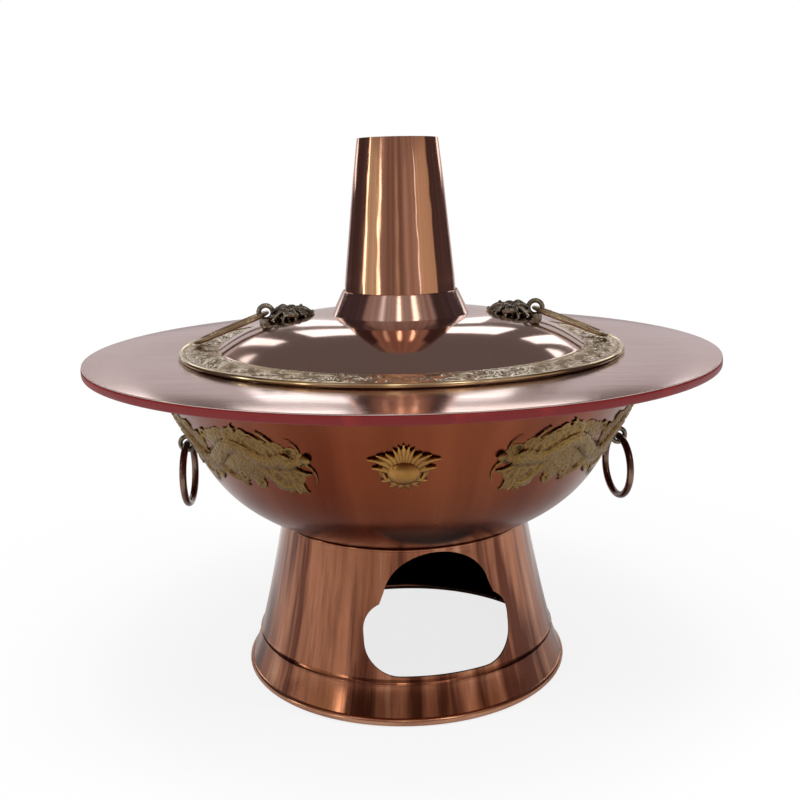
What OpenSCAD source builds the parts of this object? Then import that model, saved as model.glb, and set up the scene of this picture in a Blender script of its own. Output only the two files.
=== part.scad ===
// Chimney hot pot: a ring-shaped copper bowl around a charcoal fire tube, on a
// hollow draught base, with a wide serving brim, a lift-off ring lid and a
// lift-off chimney. Millimetres. The origin is the middle of the foot, on the
// floor. +Z is up, the draught opening faces -Y and the rings hang at +X and -X.

/* [Base] */
// Radius over the rolled foot
foot_r = 149.8; // [146:0.1:154]
// Radius of the roll
foot_roll_r = 3.6; // [3:0.1:4.4]
// Height of the base, floor to the underside of the bowl
base_h = 143; // [141:1:160]
// Radius of the base at the bowl
neck_r = 113.5; // [111:0.5:116]
// Radius of the base at its crease
crease_r = 138; // [135:0.5:141]
// Height of the crease
crease_z = 32; // [26:1:36]
// How far the skirt swells out below the bowl
neck_out = 6.5; // [4:0.5:9]
// How far down that swelling reaches
neck_down = 35; // [30:1:40]
// How far the skirt draws in above its crease
crease_in = 9.5; // [6:0.5:12]
// How far up that draws
crease_up = 34; // [30:1:38]
// Thickness of the base sheet, measured level
base_wall = 1.6; // [1.2:0.1:2.4]

/* [Draught opening] */
// Direction of the opening, turned from the front towards +X
door_turn = 13.5; // [0:0.5:20]
// Width of the wide lower part
door_w = 128; // [110:1:134]
// Height of its lower edge
door_z = 38.5; // [37:0.5:44]
// Height of its upper corners
door_top_z = 100; // [94:1:106]
// Radius of its corners
door_corner_r = 26; // [16:1:26]
// Width of the arch above it
arch_w = 94; // [80:1:100]
// Sheet left between the top of the arch and the bowl
arch_gap = 4; // [3.5:0.5:12]

/* [Bowl] */
// Height of the bowl, base to rim ring
bowl_h = 143; // [135:1:155]
// Radius of the bowl's mouth
bowl_r = 226; // [222:0.5:229]
// How far the bowl draws in below its mouth
mouth_in = 48; // [42:1:52]
// How far down that draws
mouth_down = 81; // [74:1:86]
// How far the belly swells out from the bowl's floor
belly_out = 70.5; // [64:0.5:76]
// How far up that swelling starts
belly_up = 34; // [30:1:38]
// Thickness of the bowl sheet
bowl_wall = 2; // [1.5:0.1:2.5]
// Thickness of the flat ring on the mouth
rim_ring_t = 2; // [1.5:0.1:3]

/* [Fire tube] */
// Radius of the fire box at the bowl's floor
fire_box_r = 94; // [90:0.5:98]
// Thickness of the tube
tube_wall = 2; // [1.5:0.1:3]
// Height of the straight foot of the fire box above the bowl's floor
fire_box_h = 9; // [6:1:14]
// How far the tube reaches below the bowl
tube_drop = 6; // [5:0.5:9]
// Thickness of the cast grate
grate_t = 7; // [5:0.5:9]
// Width of a grate bar
grate_bar_w = 7; // [5:0.5:9]
// Number of slots in the grate
grate_slots = 9; // [7:2:11]
// Width of the ledge that holds the grate
ledge_w = 8; // [6:0.5:12]

/* [Serving brim] */
// Radius of the brim
brim_r = 280; // [270:1:300]
// Width of the ledge inside the bowl's mouth, down to the hole that takes the lid
brim_ledge = 36; // [33:0.5:39]
// Thickness of the lacquered board
board_t = 7.2; // [6:0.1:10]
// Thickness of the copper skin
skin_t = 0.8; // [0.6:0.1:1.2]
// How far the skin stops short of the board's edge
skin_inset = 0.4; // [0.2:0.1:1.5]
// Number of screws that hold the board
board_screws_n = 8; // [6:1:12]
// Distance of the screws from the hole
screw_in = 17; // [10:1:22]

/* [Lid] */
// How far the lid's edge reaches over the brim
lid_lap = 9; // [6:0.5:14]
// Radius of the rolled edge itself
lid_roll_r = 2; // [1.7:0.1:2.6]
// Width of the flange, edge to dome
flange_w = 35; // [31:0.5:41]
// Rise of the flange, edge to dome
flange_rise = 2; // [1:0.1:4]
// Height of the dome's flat top above the brim
lid_rise = 31; // [27:0.5:36]
// Width of the dome's round shoulder
shoulder_w = 39; // [34:1:54]
// How far in the dome's foot curves
dome_foot_in = 14; // [10:1:18]
// How far up that curve rises
dome_foot_up = 7.6; // [5:0.1:10]
// Thickness of the lid sheet
lid_wall = 1.2; // [0.9:0.1:1.4]
// Thickness of the embossed brass band
band_t = 1; // [0.6:0.1:1.2]
// Play of the locating ring in the brim's hole
lid_play = 3; // [1:0.1:4]
// Depth of the locating ring below the top of the brim
lid_ring_depth = 6; // [4:0.5:10]
// Radius of the foot of the collar
collar_foot_r = 62; // [59:0.1:64]
// Height of the collar
collar_h = 21; // [16:0.5:26]
// Thickness of the collar
collar_wall = 1; // [0.8:0.1:1.4]
// Gap between collar and chimney
collar_gap = 0.8; // [0.6:0.1:1.6]

/* [Chimney] */
// Height of the whole pot, floor to chimney mouth
pot_h = 480; // [440:1:540]
// Radius of the chimney's foot
chimney_r = 50; // [48:0.1:51]
// Radius where the steeper top part starts
taper_r = 40; // [34:0.1:44]
// Radius of the mouth
mouth_r = 35.6; // [33:0.1:43]
// Height of that top part
chimney_top_h = 36; // [10:1:40]
// Thickness of the chimney
chimney_wall = 1.5; // [1:0.1:2]
// Depth over which it slides on the fire tube
socket_h = 32; // [26:1:38]
// Radial play of that slide
socket_play = 0.3; // [0.2:0.05:0.6]

/* [Carrying rings] */
// Radius of the ring's centre line
ring_r = 28; // [24:0.5:32]
// Radius of its wire
ring_wire_r = 3.25; // [2.5:0.05:3.6]
// Distance of the ring's centre line from the bowl's wall
ring_out = 15.86; // [14.9:0.05:17.9]
// Depth of the ring's pivot below the bowl's mouth
ring_drop = 78; // [74:0.5:82]
// How far the ring at +X is turned about the vertical
ring_turn = 12; // [-12:1:12]
// Thickness of the lug's plate
lug_t = 5; // [3:0.5:6]
// Width of the lug's plate
lug_w = 30; // [26:1:40]
// Depth of the plate's top below the bowl's mouth
lug_drop = 35; // [33:0.5:38]

/* [Lid loops] */
// Distance of the loop's pivot from the dome's foot
loop_in = 42; // [40:0.5:48]
// Height of the pivot above the brim
loop_rise = 32.5; // [32:0.5:38]
// Length of the loop, centre line
loop_l = 68; // [62:0.5:70]
// Width of the loop, centre line
loop_w = 39; // [34:0.5:44]
// Radius of its wire
loop_wire_r = 3.2; // [2.6:0.1:3.4]
// Radius of the mount's middle boss
boss_r = 15; // [13:0.1:16]

/* [Eyes] */
// Radius of the rod that an eye is bent from
eye_rod_r = 2.2; // [2:0.1:2.6]
// Play of a ring or loop in its eye
eye_play = 0.95; // [0.7:0.05:1.2]

/* [Ornament] */
// Height of the castings above the bowl's wall, before what their thickness adds
relief_h = 2.5; // [1.5:0.1:3]
// Direction of a dragon's middle, from the front
dragon_turn = 44; // [42:0.5:48]
// Length of a dragon, tail to snout
dragon_l = 172; // [160:1:176]
// Width of the pearl's crown of flames
crown_w = 56; // [50:1:60]
// Depth of the ornaments' middle below the bowl's mouth
ornament_drop = 50; // [48:1:54]
// Radius of the pearl
pearl_r = 13; // [10:0.5:15]
// How far the pearl stands out of the bowl
pearl_out = 9; // [6:0.5:11]

/* [Fastenings] */
// Radius of a rivet's shank
rivet_r = 2; // [1.5:0.1:2.5]
// Radius of a rivet's head
rivet_head_r = 4; // [3.2:0.1:5]
// Gap between pieces that rest on each other and come apart
rest_gap = 0.3; // [0.2:0.05:0.4]

/* [Hidden] */
$fn = 96;

// Colours, as the photograph shows them
copper = [0.62, 0.35, 0.26];
pale_copper = [0.68, 0.55, 0.52];
brass = [0.60, 0.48, 0.25];
dark_brass = [0.42, 0.36, 0.27];
iron = [0.22, 0.22, 0.22];
red_lacquer = [0.62, 0.14, 0.14];

// Levels that follow from the heights
foot_top_z = 2 * foot_roll_r;
arch_top_z = base_h - arch_gap;
bowl_top_z = base_h + bowl_h;
board_z = bowl_top_z + rim_ring_t;
brim_z = board_z + board_t + skin_t;
lid_z = brim_z + rest_gap;
shoulder_z = brim_z;
dome_top_z = brim_z + lid_rise;
collar_top_z = dome_top_z + collar_h;
taper_z = collar_top_z + 2;
tube_top_z = taper_z - 1;
chimney_foot_z = taper_z - socket_h;

// Radii that follow from the bowl's mouth
brim_hole_r = bowl_r - brim_ledge;
screw_circle_r = brim_hole_r + screw_in;
lid_r = brim_hole_r + lid_lap;
dome_r = lid_r - flange_w;
dome_turn_r = dome_r - shoulder_w;
loop_x = dome_r - loop_in;

// Curves as four pull points in (radius, height), each from its first point to its last
bowl_curve = [
    [bowl_r, bowl_top_z], [bowl_r - mouth_in, bowl_top_z - mouth_down],
    [neck_r + belly_out, base_h + belly_up], [neck_r, base_h]
];
base_curve = [
    [neck_r, base_h], [neck_r + neck_out, base_h - neck_down],
    [crease_r - crease_in, crease_z + crease_up], [crease_r, crease_z]
];

// The lid's sheets: the flange's underside at the edge, and what lies on it
roll_x = lid_r - lid_roll_r;
roll_z = lid_z + lid_roll_r;
flange_z = roll_z - (lid_wall + band_t) / 2;
flange_top_z = flange_z + flange_rise + lid_wall;
dome_land_r = collar_foot_r + 1.4;
dome_hole_r = collar_foot_r - 2.6;
dome_curve = [
    [dome_r, flange_top_z], [dome_r - dome_foot_in, flange_top_z + dome_foot_up],
    [dome_turn_r, dome_top_z], [dome_land_r, dome_top_z]
];
collar_tip_r = chimney_r + collar_gap;

// Point, unit direction and unit left-hand normal of a curve at t
function at(c, t) = pow(1 - t, 3) * c[0] + 3 * pow(1 - t, 2) * t * c[1]
    + 3 * (1 - t) * t * t * c[2] + pow(t, 3) * c[3];
function slope(c, t) = 3 * pow(1 - t, 2) * (c[1] - c[0]) + 6 * (1 - t) * t * (c[2] - c[1])
    + 3 * t * t * (c[3] - c[2]);
function left(c, t) = [-slope(c, t)[1], slope(c, t)[0]] / norm(slope(c, t));
// Points of a curve from t0 to t1, set off to its left
curve_steps = 16;
function run(c, t0, t1, off) = [
    for (i = [0:curve_steps]) let (t = t0 + (t1 - t0) * i / curve_steps) at(c, t) + off * left(c, t)
];
function back(points) = [for (i = [len(points) - 1:-1:0]) points[i]];
function shift(points, by) = [for (p = points) p + by];
// Height of the lid's flange underside at a radius
function flange_under(r) = flange_z + flange_rise * (roll_x - r) / (roll_x - dome_r);
// Value of t at which a falling curve passes a height, or a narrowing one a radius:
// part is 1 for the height and 0 for the radius
function t_where(c, part, value, lo, hi, n) = let (mid = (lo + hi) / 2)
    n == 0 ? mid
    : at(c, mid)[part] > value ? t_where(c, part, value, mid, hi, n - 1)
    : t_where(c, part, value, lo, mid, n - 1);
halvings = 24;
function t_at(c, z) = t_where(c, 1, z, 0, 1, halvings);
function t_in(c, r) = t_where(c, 0, r, 0, 1, halvings);
// Radius of the bowl's outside at a height
function wall_r(z) = at(bowl_curve, t_at(bowl_curve, z))[0];

// Places on the bowl that follow from its mouth
ring_z = bowl_top_z - ring_drop;
ring_x = wall_r(ring_z) + ring_out;
ornament_z = bowl_top_z - ornament_drop;

// ---- Base ----

module foot_ring() {
    color(copper) rotate_extrude() union() {
        translate([foot_r - foot_roll_r, foot_roll_r]) circle(foot_roll_r);
        translate([foot_r - 2 * foot_roll_r, 0]) square([foot_roll_r, foot_top_z]);
    }
}

// Outline of the draught opening: a wide round-cornered window under an arch
module door_outline() {
    door_h = door_top_z - door_z;
    arch_h = arch_top_z - door_top_z;
    for (x = [-1, 1], z = [door_z + door_corner_r, door_top_z - door_corner_r])
        translate([x * (door_w / 2 - door_corner_r), z]) circle(door_corner_r);
    translate([-door_w / 2 + door_corner_r, door_z]) square([door_w - 2 * door_corner_r, door_h]);
    translate([-door_w / 2, door_z + door_corner_r]) square([door_w, door_h - 2 * door_corner_r]);
    polygon([for (a = [0:10:180]) [arch_w / 2 * cos(a), door_top_z - 1 + (arch_h + 1) * sin(a)]]);
}

module base_skirt() {
    roll_lap = 2.8;
    outside = concat(run(base_curve, 0, 1, 0), [[foot_r - roll_lap, foot_top_z]]);
    color(copper) difference() {
        rotate_extrude() polygon(concat(outside, back(shift(outside, [-base_wall, 0]))));
        rotate([0, 0, door_turn]) rotate([90, 0, 0]) linear_extrude(foot_r) door_outline();
    }
}

// Ring under the bowl that centres it in the base
module neck_spigot() {
    fit_gap = 0.4;
    spigot_r = neck_r - base_wall - fit_gap;
    spigot_t = 3;
    spigot_h = 4;
    color(copper) translate([0, 0, base_h - spigot_h]) difference() {
        cylinder(r = spigot_r, h = spigot_h);
        translate([0, 0, -1]) cylinder(r = spigot_r - spigot_t, h = spigot_h + 2);
    }
}

// ---- Bowl ----

module bowl() {
    inside = run(bowl_curve, 0, 1, -bowl_wall);
    color(copper) difference() {
        rotate_extrude() intersection() {
            polygon(concat(
                run(bowl_curve, 0, 1, 0),
                [[fire_box_r, base_h], [fire_box_r, base_h + bowl_wall]],
                back(inside)
            ));
            square([2 * bowl_r, bowl_top_z]);
        }
        for (side = [0, 180]) rotate([0, 0, side]) lug_rivet_places()
            cylinder(r = rivet_r, h = 4 * bowl_wall, center = true);
    }
}

// What the bowl's outside encloses, for cutting the backs of what is fixed to it
module bowl_solid() {
    rotate_extrude() polygon(concat(run(bowl_curve, 0, 1, 0), [[0, base_h], [0, bowl_top_z]]));
}

// Flat ring on the bowl's mouth that carries the board
module rim_ring() {
    lap = 1;
    screw_gap = 0.2;
    color(copper) translate([0, 0, bowl_top_z]) difference() {
        cylinder(r = bowl_r + lap, h = rim_ring_t);
        translate([0, 0, -1]) cylinder(r = brim_hole_r, h = rim_ring_t + 2);
        screw_places() cylinder(r = rivet_r + screw_gap, h = 3 * rim_ring_t, center = true);
    }
}

// ---- Fire tube and grate ----

module fire_tube() {
    spigot_r = chimney_r - chimney_wall - socket_play;
    outside = [
        [fire_box_r, base_h - tube_drop], [fire_box_r, base_h + fire_box_h],
        [spigot_r, shoulder_z], [spigot_r, tube_top_z]
    ];
    color(pale_copper) rotate_extrude()
        polygon(concat(outside, back(shift(outside, [-tube_wall, 0]))));
}

// Ledge inside the foot of the tube
ledge_t = 3;
ledge_z = base_h - tube_drop + 1;

module grate_ledge() {
    color(iron) translate([0, 0, ledge_z]) difference() {
        cylinder(r = fire_box_r - tube_wall, h = ledge_t);
        translate([0, 0, -1]) cylinder(r = fire_box_r - tube_wall - ledge_w, h = ledge_t + 2);
    }
}

module grate() {
    grate_play = 0.8;
    grate_r = fire_box_r - tube_wall - grate_play;
    slot_area_r = grate_r - grate_bar_w;
    pitch = 2 * slot_area_r / grate_slots;
    color(iron) translate([0, 0, ledge_z + ledge_t]) difference() {
        cylinder(r = grate_r, h = grate_t);
        intersection() {
            translate([0, 0, -1]) cylinder(r = slot_area_r, h = grate_t + 2);
            for (i = [0:grate_slots - 1])
                translate([-slot_area_r + (i + 0.5) * pitch, 0, grate_t / 2])
                    cube([pitch - grate_bar_w, 2 * grate_r, grate_t + 2], center = true);
        }
    }
}

// Bead on the tube that the chimney stands on
module chimney_stop() {
    tube_r = chimney_r - chimney_wall - socket_play;
    stop_h = 5;
    color(brass) translate([0, 0, chimney_foot_z - rest_gap - stop_h]) difference() {
        cylinder(r = chimney_r + 1, h = stop_h);
        translate([0, 0, -1]) cylinder(r = tube_r, h = stop_h + 2);
    }
}

// ---- Serving brim ----

module screw_places() {
    for (i = [0:board_screws_n - 1])
        rotate([0, 0, (i + 0.5) * 360 / board_screws_n]) translate([screw_circle_r, 0, 0]) children();
}

// Length of a screw in the board
screw_l = 5;

module brim_board() {
    color(red_lacquer) translate([0, 0, board_z]) difference() {
        cylinder(r = brim_r, h = board_t);
        translate([0, 0, -1]) cylinder(r = brim_hole_r + skin_t, h = board_t + 2);
        translate([0, 0, -1]) screw_places() cylinder(r = rivet_r, h = screw_l + 1);
    }
}

// Copper sheet over the board, turned down through the hole
module brim_skin() {
    color(pale_copper) rotate_extrude() polygon([
        [brim_hole_r, board_z], [brim_hole_r, brim_z], [brim_r - skin_inset, brim_z],
        [brim_r - skin_inset, brim_z - skin_t], [brim_hole_r + skin_t, brim_z - skin_t],
        [brim_hole_r + skin_t, board_z]
    ]);
}

module board_screws() {
    head_h = 2.2;
    head_r = 3.6;
    color(brass) translate([0, 0, bowl_top_z]) screw_places() {
        translate([0, 0, -head_h]) cylinder(r = head_r, h = head_h);
        cylinder(r = rivet_r, h = rim_ring_t + screw_l);
    }
}

// ---- Carrying rings ----

// The lug's plate, the two rivets through it and the neck that carries its eye
lug_bottom_z = ring_z - 1;
lug_top_z = bowl_top_z - lug_drop;
lug_rivet_drop = 11;
lug_rivet_z = lug_top_z - lug_rivet_drop;
lug_rivet_y = 8;
lug_corner_drop = 7;
lug_corner_z = lug_rivet_z - lug_corner_drop;
lug_root = 4;
lug_neck_r = 5;
lug_neck_gap = 6;
head_h = 1.6;
head_seat = 0.3;

// Eye bent from a rod, its hole along Y
module eye(hole_r) {
    rotate([90, 0, 0]) rotate_extrude() translate([hole_r + eye_rod_r, 0]) circle(eye_rod_r);
}

// Places the lug's two rivets square to the bowl's wall
module lug_rivet_places() {
    t = t_at(bowl_curve, lug_rivet_z);
    lean = atan2(left(bowl_curve, t)[1], left(bowl_curve, t)[0]);
    for (y = [-1, 1])
        rotate([0, 0, asin(y * lug_rivet_y / at(bowl_curve, t)[0])])
            translate([at(bowl_curve, t)[0], 0, lug_rivet_z]) rotate([0, 90 - lean, 0]) children();
}

module side_lug(turn) {
    t0 = t_at(bowl_curve, lug_top_z);
    t1 = t_at(bowl_curve, lug_bottom_z);
    eye_z = ring_z + eye_play - rest_gap;
    foot_x = at(bowl_curve, t1)[0] - lug_root;
    color(dark_brass) difference() {
        union() {
            intersection() {
                rotate([0, 0, -20]) rotate_extrude(angle = 40) polygon(concat(
                    run(bowl_curve, t0, t1, 0), back(run(bowl_curve, t0, t1, lug_t))
                ));
                rotate([90, 0, 90]) linear_extrude(2 * bowl_r) union() {
                    translate([-lug_w / 2, lug_corner_z]) square([lug_w, 2 * lug_w]);
                    translate([0, lug_corner_z]) circle(lug_w / 2);
                    translate([-lug_w / 4, 0]) square([lug_w / 2, lug_rivet_z]);
                }
            }
            translate([foot_x, 0, eye_z]) rotate([0, 90, 0])
                cylinder(r = lug_neck_r, h = ring_x - foot_x - lug_neck_gap);
            translate([ring_x, 0, eye_z]) rotate([0, 0, turn]) eye(ring_wire_r + eye_play);
        }
        bowl_solid();
        lug_rivet_places() cylinder(r = rivet_r, h = 4 * lug_t, center = true);
    }
}

module side_lug_right() side_lug(ring_turn);
module side_lug_left() mirror([1, 0, 0]) side_lug(0);

// A rivet through a sheet whose outside is at Z = 0: its flat head inside, off the curve
module rivet(sheet, l) {
    translate([0, 0, -sheet - head_seat - head_h]) cylinder(r = rivet_head_r, h = head_h);
    translate([0, 0, -sheet - head_seat]) cylinder(r = rivet_r, h = sheet + head_seat + l);
}

module lug_rivets() {
    outer_head_r = rivet_head_r - 1;
    color(copper) for (side = [0, 180]) rotate([0, 0, side]) lug_rivet_places() union() {
        rivet(bowl_wall, lug_t);
        translate([0, 0, lug_t]) cylinder(r = outer_head_r, h = head_h);
    }
}

module side_ring(turn) {
    color(dark_brass) translate([ring_x, 0, ring_z - ring_r]) rotate([0, 0, turn])
        rotate([0, 90, 0]) rotate_extrude() translate([ring_r, 0]) circle(ring_wire_r);
}

module side_ring_right() side_ring(ring_turn);
module side_ring_left() mirror([1, 0, 0]) side_ring(0);

// ---- Ornaments on the bowl ----

// Place on the bowl's wall: across along it, up from the ornaments' middle, out from it
function on_wall(across, up, out) = let (
        t = t_at(bowl_curve, ornament_z + up),
        r = at(bowl_curve, t)[0],
        turn = across / r * 180 / PI,
        out_r = r + out * left(bowl_curve, t)[0]
    ) [out_r * sin(turn), -out_r * cos(turn), ornament_z + up + out * left(bowl_curve, t)[1]];

// How far a ball's middle lies out of the wall: the larger the ball, the deeper it is sunk
function sunk(r) = relief_h - 0.75 * r;

// Limb of a casting from [across, up, radius] to the next
module limb(from, to) {
    hull() for (p = [from, to])
        translate(on_wall(p[0], p[1], sunk(p[2]))) sphere(p[2], $fn = 10);
}

// What the bowl's outside encloses, with the corners of its round cleared
module bowl_clear() {
    widen = 1 / cos(180 / $fn);
    scale([widen, widen, 1]) bowl_solid();
}

// Flaming pearl: a ball in a cast crown of flame tongues, each tongue [direction, length
// as a share of the crown's half width]
module pearl() {
    tongues = [
        [0, 1], [22, 0.9], [50, 0.82], [75, 0.79], [105, 0.79], [130, 0.82],
        [158, 0.9], [180, 1], [212, 0.82], [247, 0.71], [293, 0.71], [328, 0.82]
    ];
    root_r = crown_w / 6;
    tip_r = crown_w / 22;
    color(brass) difference() {
        union() {
            for (tongue = tongues)
                let (l = tongue[1] * crown_w / 2)
                    limb([0, 0, root_r], [l * cos(tongue[0]), l * sin(tongue[0]), tip_r]);
            translate(on_wall(0, 0, pearl_out - pearl_r)) sphere(pearl_r, $fn = 36);
        }
        bowl_clear();
    }
}

module pearl_front() pearl();
module pearl_back() rotate([0, 0, 180]) pearl();

// A dragon that chases the pearl, as chains of [across, up, radius] in shares of its
// length: its head is towards +across, its tail behind
module dragon() {
    body = [
        [-0.5, 0.035, 0.02], [-0.419, 0.087, 0.029], [-0.326, 0.047, 0.035],
        [-0.244, -0.035, 0.047], [-0.151, -0.058, 0.058], [-0.058, -0.012, 0.064],
        [0.023, 0.052, 0.064], [0.116, 0.064, 0.064], [0.198, 0.012, 0.064],
        [0.267, -0.012, 0.058], [0.349, 0.023, 0.07], [0.453, -0.017, 0.041]
    ];
    front_leg = [[0.198, 0.012, 0.041], [0.244, -0.093, 0.035], [0.314, -0.14, 0.035]];
    raised_leg = [[0.081, 0.058, 0.041], [0.058, 0.14, 0.035]];
    hind_leg = [[-0.244, -0.035, 0.041], [-0.314, -0.116, 0.035], [-0.244, -0.157, 0.035]];
    far_hind_leg = [[-0.116, -0.047, 0.041], [-0.058, -0.128, 0.035], [0.023, -0.14, 0.035]];
    horn = [[0.337, 0.047, 0.041], [0.291, 0.128, 0.023]];
    mane = [[0.291, 0.023, 0.047], [0.198, 0.128, 0.035]];
    beard = [[0.372, 0, 0.041], [0.395, -0.128, 0.023]];
    tail_flame = [[-0.419, 0.087, 0.029], [-0.36, 0.145, 0.026]];
    low_flame = [[-0.419, 0.07, 0.029], [-0.477, -0.047, 0.023]];
    high_cloud = [[-0.326, 0.047, 0.035], [-0.221, 0.105, 0.047], [-0.093, 0.105, 0.047]];
    low_cloud = [[-0.372, -0.047, 0.041], [-0.244, -0.035, 0.041], [-0.186, -0.12, 0.041]];
    belly_cloud = [[0.023, -0.14, 0.035], [0.105, -0.081, 0.047], [0.198, 0.012, 0.041]];
    color(dark_brass) difference() {
        union() {
            for (chain = [
                body, front_leg, raised_leg, hind_leg, far_hind_leg,
                horn, mane, beard, tail_flame, low_flame,
                high_cloud, low_cloud, belly_cloud
            ])
                for (i = [1:len(chain) - 1]) limb(dragon_l * chain[i - 1], dragon_l * chain[i]);
        }
        bowl_clear();
    }
}

module dragon_front_left() rotate([0, 0, -dragon_turn]) dragon();
module dragon_front_right() mirror([1, 0, 0]) dragon_front_left();
module dragon_back_left() rotate([0, 0, 180]) dragon_front_right();
module dragon_back_right() rotate([0, 0, 180]) dragon_front_left();

// ---- Lid ----

module lid_dome() {
    under = run(dome_curve, 0, 1, lid_wall);
    color(pale_copper) difference() {
        rotate_extrude() polygon(concat(
            [[roll_x, flange_z + lid_wall]],
            run(dome_curve, 0, 1, 0),
            [[dome_hole_r, dome_top_z], [dome_hole_r, dome_top_z - lid_wall]],
            back(under),
            [[roll_x, flange_z]]
        ));
        lid_rivet_places() cylinder(r = rivet_r, h = 4 * lid_wall, center = true);
    }
}

// Space under the dome's outside, for cutting the backs of what sits on it
module dome_solid() {
    rotate_extrude() polygon(concat(
        [[roll_x, flange_z + lid_wall]], run(dome_curve, 0, 1, 0), [[0, dome_top_z], [0, flange_z]]
    ));
}

// The same, with the corners of its round cleared
module dome_clear() {
    widen = 1 / cos(180 / $fn);
    scale([widen, widen, 1]) dome_solid();
}

module lid_collar() {
    tip_r = collar_tip_r + collar_wall;
    color(pale_copper) rotate_extrude() polygon([
        [collar_foot_r, dome_top_z], [tip_r, collar_top_z],
        [collar_tip_r, collar_top_z], [collar_foot_r - collar_wall, dome_top_z]
    ]);
}

// Embossed band on the flange
module lid_band() {
    solder_gap = 0.5;
    inner_r = dome_r + solder_gap;
    inner_z = flange_under(inner_r) + lid_wall;
    color(brass) rotate_extrude() polygon([
        [inner_r, inner_z], [inner_r, inner_z + band_t],
        [roll_x, flange_z + lid_wall + band_t], [roll_x, flange_z + lid_wall]
    ]);
}

// Edge rolled over the flange and the band
module lid_roll() {
    sheets = lid_wall + band_t;
    in_r = roll_x - 9;
    color(brass) rotate_extrude() difference() {
        translate([roll_x, roll_z]) circle(lid_roll_r, $fn = 48);
        polygon([
            [roll_x, flange_z], [roll_x, flange_z + sheets],
            [in_r, flange_under(in_r) + sheets], [in_r, flange_under(in_r)]
        ]);
    }
}

// Ring under the flange that drops into the brim's hole
module lid_locating_ring() {
    outer_r = brim_hole_r - lid_play;
    inner_r = outer_r - lid_wall;
    low_z = brim_z - lid_ring_depth;
    color(pale_copper) rotate_extrude() polygon([
        [inner_r, low_z], [outer_r, low_z],
        [outer_r, flange_under(outer_r)], [inner_r, flange_under(inner_r)]
    ]);
}

// ---- Loops on the lid, each in a cast mount of curls ----

loop_z = brim_z + loop_rise;
loop_eye_z = loop_z + eye_play - rest_gap;
// Height of the loop's tip when it lies on the band at a radius
function tip_z(r) = flange_under(r) + lid_wall + band_t + loop_wire_r + rest_gap;
loop_dip_near = asin((loop_z - tip_z(loop_x + loop_l)) / loop_l);
loop_dip = asin((loop_z - tip_z(loop_x + loop_l * cos(loop_dip_near))) / loop_l);

mount_back = 19.5;
mount_x = loop_x - mount_back;
mount_rivet_x = mount_x - 3;
mount_rivet_y = 9;
rivet_depth = 4;

// Place on the dome at (x, y), its Z square to the sheet
module on_dome(x, y) {
    t = t_in(dome_curve, norm([x, y]));
    lean = atan2(-left(dome_curve, t)[0], -left(dome_curve, t)[1]);
    rotate([0, 0, atan2(y, x)])
        translate([at(dome_curve, t)[0], 0, at(dome_curve, t)[1]]) rotate([0, lean, 0]) children();
}

// The three rivets under each loop: one in the eye's foot and two in the mount
module lid_rivet_places() {
    for (side = [0, 180]) rotate([0, 0, side]) {
        on_dome(loop_x, 0) children();
        on_dome(mount_rivet_x, mount_rivet_y) children();
        on_dome(mount_rivet_x, -mount_rivet_y) children();
    }
}

// Eye on a round foot, which the loop swings in
eye_foot_r = 6;

module lid_eye_right() {
    hole_r = loop_wire_r + eye_play;
    foot_gap = 1;
    color(dark_brass) difference() {
        union() {
            translate([loop_x, 0, loop_eye_z]) eye(hole_r);
            translate([loop_x, 0, flange_top_z])
                cylinder(r = eye_foot_r, h = loop_eye_z - hole_r - foot_gap - flange_top_z);
        }
        translate([loop_x, 0, loop_eye_z]) rotate([90, 0, 0])
            cylinder(r = hole_r, h = 2 * eye_foot_r + 2, center = true);
        dome_solid();
        on_dome(loop_x, 0) translate([0, 0, -1]) cylinder(r = rivet_r, h = rivet_depth + 1);
    }
}

module lid_eye_left() mirror([1, 0, 0]) lid_eye_right();

// A ball-ended stroke from one point to the next
module stroke(a, b, r_a, r_b) {
    hull() {
        translate(a) sphere(r_a, $fn = 16);
        translate(b) sphere(r_b, $fn = 16);
    }
}

// Cast mount behind the eye: a round boss between scrolls that curl back over the dome
module lid_mount_right() {
    scroll_n = 4;
    first_scroll = 1.1;
    scroll_step = 45;
    scroll_out = 15;
    scroll_back = 12;
    scroll_side = 8;
    scroll_drop = 8;
    root_back = 4;
    root_rise = 1;
    ridge_rise = 2;
    ridge_drop = 4;
    root_r = 6;
    tip_r = 5;
    curl_r = 6.5;
    rivet_gap = 0.1;
    eye_r = loop_wire_r + eye_play + 2 * eye_rod_r;
    color(dark_brass) difference() {
        union() {
            translate([mount_x, 0, loop_z - curl_r]) sphere(boss_r, $fn = 32);
            for (y = [-1, 1], i = [0:scroll_n - 1]) {
                turn = (i - first_scroll) * scroll_step;
                tip_y = y * (scroll_side + scroll_out * cos(turn));
                tip = [mount_x - scroll_back * sin(turn), tip_y, loop_z - scroll_drop];
                root = [mount_x - root_back * sin(turn), y * root_r, loop_z + root_rise];
                stroke(root, tip, root_r, tip_r);
                translate(tip) sphere(curl_r, $fn = 16);
            }
            stroke(
                [mount_x - root_r, 0, loop_z + ridge_rise],
                [mount_x - scroll_back, 0, loop_z - ridge_drop], root_r + 1, tip_r
            );
        }
        dome_clear();
        translate([loop_x, 0, loop_eye_z]) rotate([90, 0, 0])
            cylinder(r = eye_r + rest_gap, h = 2 * eye_rod_r + 2, center = true, $fn = 48);
        translate([loop_x, 0, 0]) cylinder(r = eye_foot_r + rest_gap, h = loop_eye_z, $fn = 48);
        for (y = [-1, 1]) on_dome(mount_rivet_x, y * mount_rivet_y) translate([0, 0, -1])
            cylinder(r = rivet_r + rivet_gap, h = rivet_depth + rivet_gap + 1, $fn = 32);
    }
}

module lid_mount_left() mirror([1, 0, 0]) lid_mount_right();

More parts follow.
